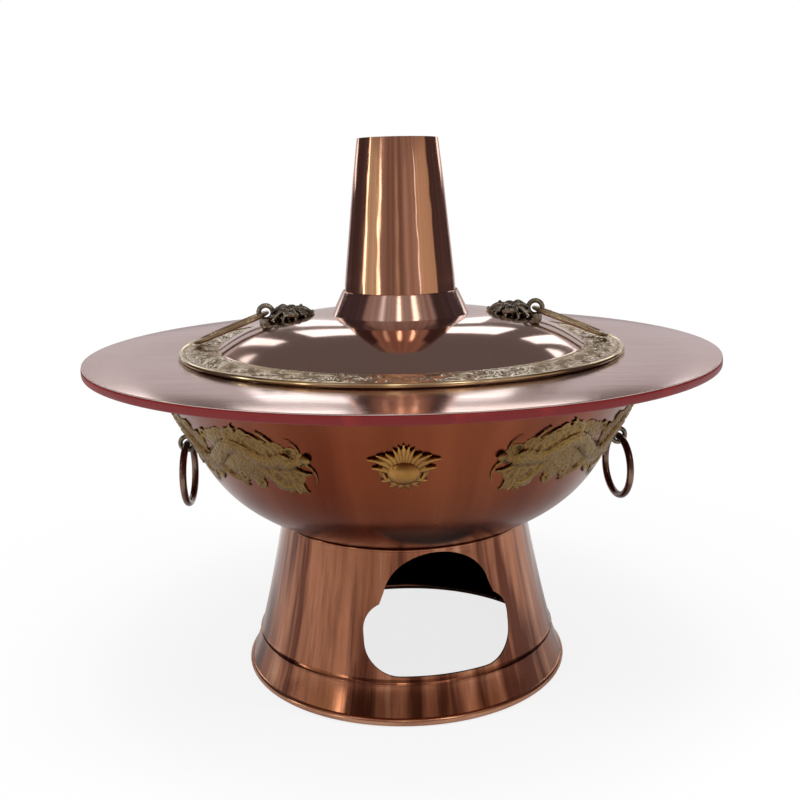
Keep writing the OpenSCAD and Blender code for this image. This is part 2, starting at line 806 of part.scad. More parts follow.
module lid_rivets() {
    color(copper) lid_rivet_places() union() rivet(lid_wall, rivet_depth);
}

// Long loop lying along +X from its pivot at the origin
module loop_shape() {
    end_r = loop_w / 2;
    straight = loop_l - loop_w;
    for (far = [0, 1]) translate([end_r + far * straight, 0, 0]) rotate([0, 0, 90 + far * 180])
        rotate_extrude(angle = 180) translate([end_r, 0]) circle(loop_wire_r);
    for (y = [-1, 1]) translate([end_r, y * end_r, 0]) rotate([0, 90, 0])
        cylinder(r = loop_wire_r, h = straight);
}

module lid_loop_right() {
    color(dark_brass) translate([loop_x, 0, loop_z]) rotate([0, loop_dip, 0]) loop_shape();
}

module lid_loop_left() mirror([1, 0, 0]) lid_loop_right();

// ---- Chimney ----

module chimney() {
    outside = [
        [chimney_r, chimney_foot_z], [chimney_r, taper_z],
        [taper_r, pot_h - chimney_top_h], [mouth_r, pot_h]
    ];
    color(copper) rotate_extrude()
        polygon(concat(outside, back(shift(outside, [-chimney_wall, 0]))));
}

foot_ring();
base_skirt();
neck_spigot();
bowl();
rim_ring();
fire_tube();
grate_ledge();
grate();
chimney_stop();
brim_board();
brim_skin();
board_screws();
side_lug_left();
side_lug_right();
lug_rivets();
pearl_front();
pearl_back();
dragon_front_left();
dragon_front_right();
dragon_back_left();
dragon_back_right();
side_ring_left();
side_ring_right();
lid_dome();
lid_collar();
lid_band();
lid_roll();
lid_locating_ring();
lid_eye_left();
lid_eye_right();
lid_mount_left();
lid_mount_right();
lid_rivets();
lid_loop_left();
lid_loop_right();
chimney();
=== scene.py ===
# A charcoal hot pot of polished copper: base, ring bowl, wide serving brim, loose ring
# lid and chimney. Sizes are in millimetres, the scene in metres, +Z up, the draught opening
# towards -Y. The sections go from foot to chimney, then floor, lamps and camera.
import math

import bpy
from mathutils import Matrix, Vector, noise


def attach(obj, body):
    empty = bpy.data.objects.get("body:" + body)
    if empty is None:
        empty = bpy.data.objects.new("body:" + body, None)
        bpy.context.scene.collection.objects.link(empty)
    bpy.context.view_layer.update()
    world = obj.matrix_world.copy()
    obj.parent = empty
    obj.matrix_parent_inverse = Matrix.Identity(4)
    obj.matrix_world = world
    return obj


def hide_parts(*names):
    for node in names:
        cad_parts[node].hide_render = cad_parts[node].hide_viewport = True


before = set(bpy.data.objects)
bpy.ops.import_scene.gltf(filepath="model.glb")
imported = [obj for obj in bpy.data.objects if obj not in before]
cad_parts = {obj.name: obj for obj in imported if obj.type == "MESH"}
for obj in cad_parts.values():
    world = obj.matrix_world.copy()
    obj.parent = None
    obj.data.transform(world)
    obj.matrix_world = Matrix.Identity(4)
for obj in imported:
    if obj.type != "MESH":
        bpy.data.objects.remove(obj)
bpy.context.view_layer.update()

bpy.ops.object.select_all(action="DESELECT")


# ---- Base skirt ----
# A flared skirt raised from one sheet of copper and polished upright. A bead stiffens it
# under the bowl, a pressed crease runs above the foot, and the draught opening is sawn out.
mm = 0.001  # outlines are in millimetres, meshes in metres
merge = 2e-6  # points nearer than this, in metres, are one


def curve(points, count):
    """Points along a cubic curve that leaves its ends towards its two pull points."""
    a, b, c, d = (Vector(p) for p in points)
    steps = [i / count for i in range(count + 1)]
    return [(1 - t) ** 3 * a + 3 * (1 - t) ** 2 * t * b + 3 * (1 - t) * t * t * c + t ** 3 * d
            for t in steps]


def arc(middle, radius, start, end, count):
    """Points on a circle, from one direction in degrees to another."""
    angles = [math.radians(start + (end - start) * i / count) for i in range(count + 1)]
    return [Vector((middle[0] + radius * math.cos(a), middle[1] + radius * math.sin(a))) for a in angles]


def sheet(outside, wall):
    """Closed outline of a sheet: its outside, and the same line set off by the wall to its right."""
    line = [Vector(p) for p in outside]
    ends = [line[0] * 2 - line[1]] + line + [line[-1] * 2 - line[-2]]
    runs = [(b - a).normalized() for a, b in zip(ends, ends[2:])]
    inside = [p + Vector((-run.y, run.x)) * -wall for p, run in zip(line, runs)]
    return line + inside[::-1]


def draw(name, points):
    """New mesh of one line through (x, y, z) points in millimetres, left in edit mode."""
    bpy.ops.object.select_all(action="DESELECT")
    bpy.ops.mesh.primitive_plane_add(size=mm)
    piece = bpy.context.object
    piece.name = piece.data.name = name
    bpy.ops.object.mode_set(mode="EDIT")
    bpy.ops.mesh.select_mode(type="VERT")
    bpy.ops.mesh.select_all(action="SELECT")
    bpy.ops.mesh.merge(type="CENTER")
    bpy.ops.transform.translate(value=Vector(points[0]) * mm)
    for near, far in zip(points, points[1:]):
        step = (Vector(far) - Vector(near)) * mm
        bpy.ops.mesh.extrude_vertices_move(TRANSFORM_OT_translate={"value": step})
    bpy.ops.mesh.select_all(action="SELECT")
    bpy.ops.mesh.remove_doubles(threshold=merge / 2)
    return piece


def pick(piece):
    """Selects one piece alone and makes it the active one."""
    bpy.ops.object.select_all(action="DESELECT")
    piece.select_set(True)
    bpy.context.view_layer.objects.active = piece


def smooth(piece, angle=40):
    """Shades a piece round, except across edges sharper than the angle in degrees."""
    pick(piece)
    bpy.ops.object.shade_smooth_by_angle(angle=math.radians(angle))


def face_outward():
    """Turns all faces of the mesh in edit mode outward."""
    bpy.ops.mesh.select_all(action="SELECT")
    bpy.ops.mesh.normals_make_consistent(inside=False)


def spun(name, outline, turns=240):
    """Solid of revolution from a closed (radius, height) outline."""
    piece = draw(name, [(p[0], 0, p[1]) for p in list(outline) + [outline[0]]])
    bpy.ops.mesh.spin(steps=turns, angle=2 * math.pi, center=(0, 0, 0), axis=(0, 0, 1))
    bpy.ops.mesh.select_all(action="SELECT")
    bpy.ops.mesh.remove_doubles(threshold=merge)
    face_outward()
    bpy.ops.object.mode_set(mode="OBJECT")
    smooth(piece)
    return piece


def apply(piece, kind, **settings):
    """Adds a modifier and applies it."""
    pick(piece)
    modifier = piece.modifiers.new(kind.title(), kind)
    for key, value in settings.items():
        setattr(modifier, key, value)
    bpy.ops.object.modifier_apply(modifier=modifier.name)


def add(tree, kind, inputs=None, **settings):
    """Adds a shader node; an input is a value or another node's socket."""
    made = tree.nodes.new("ShaderNode" + kind)
    for key, value in settings.items():
        setattr(made, key, value)
    for key, value in (inputs or {}).items():
        if isinstance(value, bpy.types.NodeSocket):
            tree.links.new(value, made.inputs[key])
        else:
            made.inputs[key].default_value = value
    return made


def group(name, inputs, output):
    """Empty shader node group with number inputs and one output, and its input node."""
    tree = bpy.data.node_groups.new(name, "ShaderNodeTree")
    for key, value in inputs.items():
        number = tree.interface.new_socket(name=key, in_out="INPUT", socket_type="NodeSocketFloat")
        number.default_value = value
    tree.interface.new_socket(name=output, in_out="OUTPUT", socket_type="NodeSocketFloat")
    return tree, tree.nodes.new("NodeGroupInput").outputs


def put_out(tree, socket):
    """Ends a group with the socket that it gives out."""
    tree.links.new(socket, tree.nodes.new("NodeGroupOutput").inputs[0])
    return tree


def maths(tree, operation, a, b=0.0):
    return add(tree, "Math", {0: a, 1: b}, operation=operation).outputs[0]


def vectors(tree, operation, a, b=(0, 0, 0)):
    """A vector sum, product or measure of one or two vectors; gives the node's outputs."""
    return add(tree, "VectorMath", {0: a, 1: b}, operation=operation).outputs


def spots(tree):
    """Where a point of the pot is: its X, Y and Z, and its level vector from the axis."""
    at = add(tree, "SeparateXYZ", {0: add(tree, "TexCoord").outputs["Object"]}).outputs
    return at, add(tree, "CombineXYZ", {"X": at["X"], "Y": at["Y"]}).outputs[0]


def between(tree, value, from_min, from_max, to_min=0.0, to_max=1.0):
    """A value carried from one range to another and held there."""
    spread = {"Value": value, "From Min": from_min, "From Max": from_max, "To Min": to_min,
              "To Max": to_max}
    return add(tree, "MapRange", spread).outputs["Result"]


def grade(tree, mask, low, high):
    """A value that goes from low to high with a mask."""
    return between(tree, mask, 0.0, 1.0, low, high)


def upright_streaks():
    """Mask of soft streaks that run up and down the pot, as a polisher's strokes and drips do; in the
    copper colours it also paints light and dark reflection bands.
    """
    tree, given = group("Upright streaks", {"Around": 9.0, "Up": 3.0, "Detail": 3.0}, "Mask")
    at, level = spots(tree)
    way = vectors(tree, "NORMALIZE", level)[0]
    wide = add(tree, "VectorMath", {0: way, "Scale": given["Around"]}, operation="SCALE").outputs[0]
    high = add(tree, "CombineXYZ", {"Z": maths(tree, "MULTIPLY", at["Z"], given["Up"])}).outputs[0]
    where = vectors(tree, "ADD", wide, high)[0]
    grain = {"Vector": where, "Scale": 1.0, "Detail": given["Detail"], "Roughness": 0.55}
    return put_out(tree, add(tree, "TexNoise", grain).outputs["Fac"])


def lathe_lines():
    """Height of the fine lines that polishing on a lathe leaves round the pot."""
    tree, given = group("Lathe lines", {"Lines": 900.0}, "Height")
    at, level = spots(tree)
    radius = vectors(tree, "LENGTH", level)["Value"]
    where = add(tree, "CombineXYZ", {"X": radius, "Y": at["Z"]}).outputs[0]
    grain = {"Vector": where, "Scale": given["Lines"], "Detail": 2.0}
    return put_out(tree, add(tree, "TexNoise", grain).outputs["Fac"])


def tarnish():
    """Mask of cloudy patches where the polish has dulled."""
    tree, given = group("Tarnish", {"Scale": 9.0, "From": 0.45, "To": 0.7}, "Mask")
    at = add(tree, "TexCoord").outputs["Object"]
    grain = {"Vector": at, "Scale": given["Scale"], "Detail": 6.0, "Distortion": 0.6}
    cloudy = add(tree, "TexNoise", grain).outputs["Fac"]
    return put_out(tree, between(tree, cloudy, given["From"], given["To"]))


def inner_side():
    """Mask of the surfaces that face the pot's axis, which the fire has blackened."""
    tree, given = group("Inner side", {"From": -0.35, "To": -0.2}, "Mask")
    way = vectors(tree, "NORMALIZE", spots(tree)[1])[0]
    turned_out = vectors(tree, "DOT_PRODUCT", way, add(tree, "NewGeometry").outputs["Normal"])["Value"]
    return put_out(tree, between(tree, turned_out, given["To"], given["From"]))


streaks, lines, clouds, inward = upright_streaks(), lathe_lines(), tarnish(), inner_side()


def place(tree, source, **values):
    """One of the groups in a material, with this material's own values; gives its output."""
    made = tree.nodes.new("ShaderNodeGroup")
    made.node_tree = source
    for key, value in values.items():
        made.inputs[key].default_value = value
    return made.outputs[0]


def blend(tree, mask, low, high):
    """Colour that goes from low to high with the mask."""
    mix = tree.nodes.new("ShaderNodeMix")
    mix.data_type = "RGBA"
    for socket, value in zip((mix.inputs["Factor"], mix.inputs["A"], mix.inputs["B"]), (mask, low, high)):
        if isinstance(value, bpy.types.NodeSocket):
            tree.links.new(value, socket)
        else:
            socket.default_value = (*value, 1.0)
    return mix.outputs["Result"]


def metal(name, slot, colour, **sockets):
    """Metal finish with a Principled shader and its plain colour, to be broken up by what is
    fed to it; gives the material, its nodes and the shader."""
    made = bpy.data.materials.new(name)
    made.use_nodes = True
    shader = made.node_tree.nodes["Principled BSDF"]
    shader.inputs["Metallic"].default_value = 1.0
    shader.inputs["Base Color"].default_value = (*colour, 1.0)
    for key, value in sockets.items():
        shader.inputs[key.replace("_", " ")].default_value = value
    made["slot"] = slot
    return made, made.node_tree, shader


def feed(tree, shader, **sockets):
    """Links values and colours that change over the surface to the shader."""
    for key, value in sockets.items():
        tree.links.new(value, shader.inputs[key.replace("_", " ")])


def bumps(tree, shader, height, strength, distance):
    """Fine relief of the finish, its distance in metres."""
    bump = add(tree, "Bump", {"Height": height, "Strength": strength, "Distance": distance})
    feed(tree, shader, Normal=bump.outputs["Normal"])


def wear(piece, made, body, *nodes):
    """Gives a finished piece its finish, its body and the solids it stands for."""
    piece.data.materials.clear()
    piece.data.materials.append(made)
    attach(piece, body)
    if nodes:
        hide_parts(*nodes)


def recolour(made, *nodes):
    """Gives solids that keep their own shape a finish."""
    for name in nodes:
        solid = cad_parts[name]
        solid.data.materials.clear()
        solid.data.materials.append(made)


copper_mid, copper_light = (0.33, 0.135, 0.075), (0.56, 0.30, 0.19)
copper_dark_reflection, soot = (0.10, 0.032, 0.019), (0.006, 0.005, 0.005)

neck_r, neck_z, neck_bead_r = 113.5, 143, 1.3
crease_r, crease_z, crease_bead_r = 138, 32, 1.1
skirt_wall = 1.6
skirt_line = curve([(neck_r, neck_z), (120, 108), (128.5, 66), (crease_r, crease_z)], 44)
neck_bead = arc((113.6, 141.4), neck_bead_r, 90, -70, 6)
crease_bead = arc((crease_r, crease_z), crease_bead_r, 60, -60, 6)
flare = [Vector(p) for p in ((139.9, 26), (143.6, 16), (147, 7.2))]
skirt = spun("base_skirt_sheet", sheet(neck_bead + skirt_line[2:-1] + crease_bead + flare, skirt_wall))

# The opening's outline, flat: a wide mouth with round corners, and a narrower arch on top.
door_turn, door_w, door_z, door_top, door_corner = 13.5, 128, 38.5, 100, 26
arch_w, arch_top, arch_points = 94, 139, 24
shoulder, arch_spring = 62, 12  # degrees where the corners stop and the arch starts
saw_reach = 200
inner = door_w / 2 - door_corner
arch_rise, arch_sweep = arch_top - door_top + 1, 180 - 2 * arch_spring
arch_turns = [math.radians(arch_spring + arch_sweep * i / arch_points) for i in range(arch_points + 1)]
door_line = (
    arc((inner, door_z + door_corner), door_corner, -90, 0, 10)
    + arc((inner, door_top - door_corner), door_corner, 0, shoulder, 8)
    + [Vector((arch_w / 2 * math.cos(a), door_top - 1 + arch_rise * math.sin(a))) for a in arch_turns]
    + arc((-inner, door_top - door_corner), door_corner, 180 - shoulder, 180, 8)
    + arc((-inner, door_z + door_corner), door_corner, 180, 270, 10)
)
cutter = draw("draught_opening_saw", [(p.x, -saw_reach, p.y) for p in door_line + door_line[:1]])
bpy.ops.mesh.edge_face_add()
bpy.ops.mesh.extrude_region_move(TRANSFORM_OT_translate={"value": (0, saw_reach * mm, 0)})
face_outward()
bpy.ops.object.mode_set(mode="OBJECT")
cutter.data.transform(Matrix.Rotation(math.radians(door_turn), 4, "Z"))
apply(skirt, "BOOLEAN", object=cutter, operation="DIFFERENCE", solver="EXACT")
bpy.data.objects.remove(cutter)
smooth(skirt)

skirt_copper, tree, shader = metal("upright_polished_copper_painted_reflections", "copper", copper_mid, Roughness=0.2)
streak = place(tree, streaks, Around=6.0, Up=4.0, Detail=4.0)
fine = place(tree, streaks, Around=40.0, Up=1.5, Detail=3.0)
cloud = place(tree, clouds, Scale=7.0)
# Painted reflections: broad upright streaks run from a dark reflection colour through the copper to pale
# bands, and fine ones add thin highlight lines; they stand partly for polish marks and partly for painted
# light and dark reflections.
tone = blend(tree, between(tree, streak, 0.40, 0.54), copper_dark_reflection, copper_mid)
tone = blend(tree, between(tree, streak, 0.58, 0.66, 0.0, 0.7), tone, copper_light)
tone = blend(tree, between(tree, fine, 0.55, 0.75, 0.0, 0.2), tone, copper_light)
inside = place(tree, inward)
feed(tree, shader, Base_Color=blend(tree, inside, tone, soot))
polish = grade(tree, cloud, 0.13, 0.26)
feed(tree, shader, Roughness=maths(tree, "ADD", polish, maths(tree, "MULTIPLY", inside, 0.5)))
bumps(tree, shader, fine, 0.12, 0.0006)
wear(skirt, skirt_copper, "root", "base_skirt")


# ---- Foot ----
# The skirt's edge rolled outward over a wire, so that the pot stands on a smooth round
# bead. The roll catches light along its top and is dulled in patches by sliding about.
foot_r, foot_roll = 149.8, 3.6
foot = spun("foot_roll", arc((foot_r - foot_roll, foot_roll), foot_roll, 0, 345, 23))
foot_copper, tree, shader = metal("worn_copper_roll", "copper", copper_mid, Roughness=0.24)
cloud = place(tree, clouds, Scale=16.0)
feed(tree, shader, Base_Color=blend(tree, cloud, copper_light, copper_mid))
feed(tree, shader, Roughness=grade(tree, cloud, 0.18, 0.36))
bumps(tree, shader, place(tree, lines, Lines=500.0), 0.08, 0.0004)
wear(foot, foot_copper, "root", "foot_ring")


# ---- Bowl ----
# A deep bowl spun from 2 mm copper, its belly polished on the lathe and a little dulled by
# handling. Its floor is open in the middle, where the fire tube is brazed in.
bowl_pulls = [Vector(p) for p in ((226, 286), (178, 205), (184, 177), (neck_r, neck_z))]
bowl_wall, tube_hole_r = 2.0, 94
floor_top = neck_z + bowl_wall
bowl_line = curve(bowl_pulls, 52)
bowl_sheet = sheet(bowl_line, bowl_wall)
bowl_hole = [Vector((tube_hole_r, neck_z)), Vector((tube_hole_r, floor_top))]
bowl_inside = [p for p in bowl_sheet[len(bowl_line):] if p.y > floor_top + 0.2 and p.x > tube_hole_r]
bowl = spun("bowl_spun_sheet", bowl_line + bowl_hole + bowl_inside)
bowl_copper, tree, shader = metal("lathe_polished_copper_painted_reflections", "copper", copper_mid, Roughness=0.24)
cloud = place(tree, clouds, Scale=5.0, From=0.35, To=0.75)
streak = place(tree, streaks, Around=4.0, Up=2.5, Detail=4.0)
# Painted reflections: the upright streaks lay darker and lighter bands on the copper, partly polish marks
# and partly painted reflections.
tone = blend(tree, between(tree, streak, 0.35, 0.65), (0.12, 0.024, 0.009), (0.205, 0.050, 0.020))
tone = blend(tree, grade(tree, cloud, 0.0, 0.3), tone, (0.26, 0.105, 0.05))
feed(tree, shader, Base_Color=tone, Roughness=grade(tree, cloud, 0.2, 0.32))
bumps(tree, shader, place(tree, lines, Lines=420.0), 0.1, 0.0005)
wear(bowl, bowl_copper, "root", "bowl")


# ---- Tinned and sooty insides ----
# The fire tube is tinned copper that the fire has stained, and the flat ring under the
# board is the bowl's. Soot covers the cast iron grate, its ledge and the spigot below.
tin_grey, stain = (0.42, 0.39, 0.36), (0.09, 0.07, 0.06)
tin, tree, shader = metal("fire_stained_tin", "tinned", tin_grey, Roughness=0.38)
cloud = place(tree, clouds, Scale=11.0, From=0.35, To=0.7)
feed(tree, shader, Base_Color=blend(tree, cloud, tin_grey, stain))
feed(tree, shader, Roughness=grade(tree, cloud, 0.3, 0.6))
bumps(tree, shader, place(tree, lines, Lines=300.0), 0.15, 0.0005)
recolour(tin, "fire_tube")
recolour(bowl_copper, "rim_ring")

iron, tree, shader = metal("cast_iron_soot", "iron", (0.05, 0.048, 0.046), Roughness=0.75)
cloud = place(tree, clouds, Scale=60.0, From=0.3, To=0.7)
feed(tree, shader, Base_Color=blend(tree, cloud, (0.035, 0.034, 0.033), (0.10, 0.085, 0.07)))
bumps(tree, shader, cloud, 0.4, 0.0012)
recolour(iron, "grate", "grate_ledge", "neck_spigot")


# ---- Serving brim ----
# A round board of about 7 mm, its edge rounded over and lacquered crimson, held by screws
# through the rim ring. Pale copper sheet covers the top and turns down into the hole.
brim_r, hole_r, board_z, board_top, board_edge = 280, 190.8, 288, 295.2, 1.8
board = spun("brim_board", [Vector((hole_r, board_z))]
             + arc((brim_r - board_edge, board_z + board_edge), board_edge, -90, 0, 6)
             + arc((brim_r - board_edge, board_top - board_edge), board_edge, 0, 90, 6)
             + [Vector((hole_r, board_top))])
lacquer, tree, shader = metal("crimson_lacquer", "lacquer", (0.19, 0.016, 0.017), Roughness=0.45,
                              Metallic=0.0, Specular_IOR_Level=0.25)
cloud = place(tree, clouds, Scale=18.0)
streak = place(tree, streaks, Around=30.0, Up=30.0, Detail=4.0)
tone = blend(tree, between(tree, cloud, 0.35, 0.65), (0.16, 0.010, 0.011), (0.20, 0.015, 0.014))
feed(tree, shader, Base_Color=tone, Roughness=grade(tree, cloud, 0.4, 0.52))
bumps(tree, shader, streak, 0.05, 0.0004)
wear(board, lacquer, "root", "brim_board")

skin_wall, skin_bend, skin_r, skin_lip = 0.8, 0.9, 279.6, 0.35
skin_inner, skin_top = hole_r - skin_wall, board_top + skin_wall
skin = spun("brim_copper_skin", [Vector((skin_inner, board_z))]
            + arc((skin_inner + skin_bend, skin_top - skin_bend), skin_bend, 180, 90, 6)
            + arc((skin_r - skin_lip, skin_top - skin_lip), skin_lip, 90, 0, 4)
            + [Vector((skin_r, board_top)), Vector((hole_r, board_top)), Vector((hole_r, board_z))])
brim_copper, tree, shader = metal("brushed_pale_copper", "brim_copper", (0.66, 0.50, 0.47), Roughness=0.3)
cloud = place(tree, clouds, Scale=6.0, From=0.35, To=0.75)
strokes = {"Vector": add(tree, "TexCoord").outputs["Object"], "Scale": (9, 240, 60)}
strokes = {"Vector": add(tree, "Mapping", strokes).outputs[0], "Scale": 1.0, "Detail": 4.0}
brushed = add(tree, "TexNoise", strokes).outputs["Fac"]
tone = blend(tree, cloud, (0.70, 0.55, 0.53), (0.60, 0.42, 0.38))
tone = blend(tree, between(tree, brushed, 0.4, 0.7, 0.0, 0.14), tone, (0.40, 0.24, 0.20))
feed(tree, shader, Base_Color=tone, Roughness=between(tree, brushed, 0.3, 0.7, 0.13, 0.19))
bumps(tree, shader, brushed, 0.02, 0.0003)
wear(skin, brim_copper, "root", "brim_skin")

rivet, tree, shader = metal("dull_copper_rivet", "rivet", (0.33, 0.14, 0.08), Roughness=0.36)
cloud = place(tree, clouds, Scale=40.0)
feed(tree, shader, Base_Color=blend(tree, cloud, (0.38, 0.17, 0.10), (0.12, 0.05, 0.03)))
bumps(tree, shader, cloud, 0.1, 0.0003)
recolour(rivet, "board_screws", "lug_rivets", "lid_rivets")


# ---- Lid ----
# A ring lid spun from thin copper and polished to a mirror, with a mauve cast. A cone of
# the same sheet is the collar that shields the hole round the chimney.
lid_hole_r, lid_top, lid_wall, lid_turns = 59.4, 327, 1.2, 288
dome_r, dome_foot, lid_r, lid_foot = 164, 300.4, 197, 298.4
dome_line = curve([(lid_hole_r + 4, lid_top), (125, lid_top), (150, 308), (dome_r, dome_foot)], 44)
flange = [Vector((180.5, 299.4)), Vector((lid_r, lid_foot))]
lid_line = [Vector((lid_hole_r, lid_top))] + dome_line + flange
lid = spun("lid_dome_sheet", sheet(lid_line, lid_wall), lid_turns)
lid_mirror, tree, shader = metal("mauve_mirror_copper", "lid_copper", (0.56, 0.42, 0.39), Roughness=0.09)
cloud = place(tree, clouds, Scale=6.0, From=0.4, To=0.8)
tone = blend(tree, grade(tree, cloud, 0.0, 0.6), (0.62, 0.47, 0.43), (0.50, 0.33, 0.26))
feed(tree, shader, Base_Color=tone, Roughness=grade(tree, cloud, 0.07, 0.14))
bumps(tree, shader, place(tree, lines, Lines=160.0), 0.03, 0.0006)
wear(lid, lid_mirror, "lid", "lid_dome")

collar_line = [(51.1, 348), (51.8, 347.8), (52.3, 347), (61.1, 328.6), (62, lid_top)]
collar = spun("lid_collar_cone", sheet(collar_line, 1.0))
collar_copper, tree, shader = metal("satin_collar_copper", "lid_copper", (0.62, 0.44, 0.39), Roughness=0.14)
streak = place(tree, streaks, Around=9.0, Up=3.0, Detail=3.0)
# Painted reflections: the upright streaks lay paler and darker bands round the collar, partly polish marks
# and partly painted reflections.
tone = blend(tree, between(tree, streak, 0.35, 0.65), (0.48, 0.29, 0.23), (0.68, 0.50, 0.45))
feed(tree, shader, Base_Color=tone)
bumps(tree, shader, place(tree, lines, Lines=500.0), 0.08, 0.0004)
wear(collar, collar_copper, "lid", "lid_collar")
recolour(lid_mirror, "lid_locating_ring")


# ---- Lid band and rolled edge ----
# A band of thin brass embossed with scrolls and bead rows lies on the lid's flange. The
# lid's edge is rolled over it as a bright round rim.
lid_roll = 2.0
roll = spun("lid_rolled_edge", arc((lid_r, 298.3), lid_roll, 0, 342, 19), lid_turns)
roll_brass, tree, shader = metal("bright_roll_brass", "roll_brass", (0.56, 0.40, 0.17), Roughness=0.16)
cloud = place(tree, clouds, Scale=14.0)
feed(tree, shader, Base_Color=blend(tree, cloud, (0.76, 0.66, 0.44), (0.60, 0.46, 0.26)))
wear(roll, roll_brass, "lid", "lid_roll")

# One motif: two scrolls and their leaves between two rows of beads, embossed from behind.
motifs, band_inner, band_outer = 40, 164.5, 195.6
band_z, emboss = 300.45, 0.75
across, along = 30, 36
motif_l = 2 * math.pi * (band_inner + band_outer) / 2 / motifs


def scroll(x, y, radius, start, turns, count=60):
    """Points of a scroll that winds in to its middle."""
    points = []
    for t in [i / count for i in range(count + 1)]:
        turn, reach = math.radians(start) + turns * 2 * math.pi * t, radius * (1 - 0.85 * t)
        points.append((x + reach * math.cos(turn), y + reach * math.sin(turn)))
    return points


width = band_outer - band_inner
low, high = width * 0.34, width * 0.66
vine = [(motif_l * i / 60, width / 2 + 5.2 * math.sin(2 * math.pi * i / 60)) for i in range(61)]
ridges = [
    (vine, 1.15),
    (scroll(motif_l * 0.25, low, 6.4, 100, 1.6), 1.0),
    (scroll(motif_l * 0.75, high, 6.4, 280, 1.6), 1.0),
    (scroll(motif_l * 0.02, high + 1, 3.2, 200, 1.2), 0.8),
    (scroll(motif_l * 0.52, low - 1, 3.2, 20, 1.2), 0.8),
]
leaves = [(0.12, 0.22), (0.40, 0.74), (0.62, 0.30), (0.90, 0.78), (0.33, 0.16), (0.83, 0.86)]


def relief(x, y):
    """Height of the embossing at a point of the motif, from 0 to 1."""
    height = 0.0
    for line, thick in ridges:
        gap = min((min(abs(x - px), motif_l - abs(x - px))) ** 2 + (y - py) ** 2 for px, py in line)
        height = max(height, 1 - gap / (thick * thick))
    for u, v in leaves:
        dx = abs(x - u * motif_l)
        gap = (min(dx, motif_l - dx) / 2.1) ** 2 + ((y - v * width) / 1.3) ** 2
        height = max(height, 0.9 * (1 - gap))
    bead = motif_l / 10
    for row in (1.5, width - 1.5):
        dx = (x + bead / 2) % bead - bead / 2
        height = max(height, 1 - (dx * dx + (y - row) ** 2) / 1.25 ** 2)
    for rail in (3.3, width - 3.3):
        height = max(height, 0.7 * (1 - ((y - rail) / 0.5) ** 2))
    return math.sqrt(max(height, 0.0))


bpy.ops.object.select_all(action="DESELECT")
bpy.ops.mesh.primitive_grid_add(x_subdivisions=along, y_subdivisions=across, size=1)
band = bpy.context.object
band.name = band.data.name = "embossed_band"
for point in band.data.vertices:
    u, v = point.co.x + 0.5, point.co.y + 0.5
    turn = 2 * math.pi / motifs * u
    radius = band_inner + v * width
    lies_at = band_z - 2 * (radius - dome_r) / (lid_r - dome_r)
    height = lies_at + 0.15 + emboss * relief(u * motif_l, v * width)
    point.co = Vector((radius * math.cos(turn), radius * math.sin(turn), height)) * mm
bpy.ops.object.mode_set(mode="EDIT")
bpy.ops.mesh.select_all(action="SELECT")
round_turn = 2 * math.pi * (motifs - 1) / motifs
bpy.ops.mesh.spin(steps=motifs - 1, dupli=True, angle=round_turn, center=(0, 0, 0), axis=(0, 0, 1))
bpy.ops.mesh.select_all(action="SELECT")
bpy.ops.mesh.remove_doubles(threshold=10 * merge)
face_outward()
bpy.ops.mesh.select_all(action="DESELECT")
bpy.ops.mesh.select_non_manifold()
bpy.ops.mesh.extrude_edges_move(TRANSFORM_OT_translate={"value": (0, 0, -0.6 * mm)})
bpy.ops.mesh.bridge_edge_loops()
face_outward()
bpy.ops.object.mode_set(mode="OBJECT")
smooth(band, 50)


def hollows():
    """Mask of the hollows of a relief, where dirt stays, from how sharply the surface bends."""
    tree, given = group("Dirt in the hollows", {"From": 0.46, "To": 0.54}, "Mask")
    bend = add(tree, "NewGeometry").outputs["Pointiness"]
    return put_out(tree, between(tree, bend, given["From"], given["To"]))


dirt = hollows()


def dirty_brass(name, slot, patches, tones, hollow, polish):
    """Brass in two tones of cloudy patches, with dirt in its hollows: patches has their scale and
    range, hollow the dirt's colour and range, polish the roughness from patch to patch."""
    made, tree, shader = metal(name, slot, tones[1])
    cloud = place(tree, clouds, Scale=patches[0], From=patches[1], To=patches[2])
    dirty = place(tree, dirt, From=hollow[1], To=hollow[2])
    tone = blend(tree, dirty, hollow[0], blend(tree, cloud, *tones))
    feed(tree, shader, Base_Color=tone, Roughness=grade(tree, cloud, *polish))
    return made, tree, shader, cloud


band_brass, tree, shader, cloud = dirty_brass(
    "silvery_band_brass", "band_brass", (25.0, 0.35, 0.65), ((0.80, 0.72, 0.58), (0.70, 0.56, 0.36)),
    ((0.16, 0.12, 0.08), 0.4, 0.52), (0.2, 0.34))
bumps(tree, shader, place(tree, clouds, Scale=420.0, From=0.3, To=0.7), 0.2, 0.0003)
wear(band, band_brass, "lid", "lid_band")


# ---- Carrying rings ----
# Plain rings of brass rod, browned with age and rubbed brighter in patches, that hang in
# the eyes of two cast lugs riveted to the bowl.
ring_metal, tree, shader = metal("browned_ring_brass", "ring_metal", (0.13, 0.085, 0.075), Roughness=0.22)
cloud = place(tree, clouds, Scale=30.0)
feed(tree, shader, Base_Color=blend(tree, cloud, (0.12, 0.07, 0.06), (0.26, 0.17, 0.12)))
feed(tree, shader, Roughness=grade(tree, cloud, 0.18, 0.34))
recolour(ring_metal, "side_ring_left", "side_ring_right")

old_brass, tree, shader = metal("old_cast_brass", "old_brass", (0.12, 0.10, 0.07), Roughness=0.34)
cloud = place(tree, clouds, Scale=70.0, From=0.4, To=0.7)
tone = blend(tree, cloud, (0.11, 0.085, 0.065), (0.36, 0.29, 0.19))
feed(tree, shader, Base_Color=tone, Roughness=grade(tree, cloud, 0.4, 0.26))
bumps(tree, shader, cloud, 0.25, 0.0006)
recolour(old_brass, "side_lug_left", "side_lug_right")


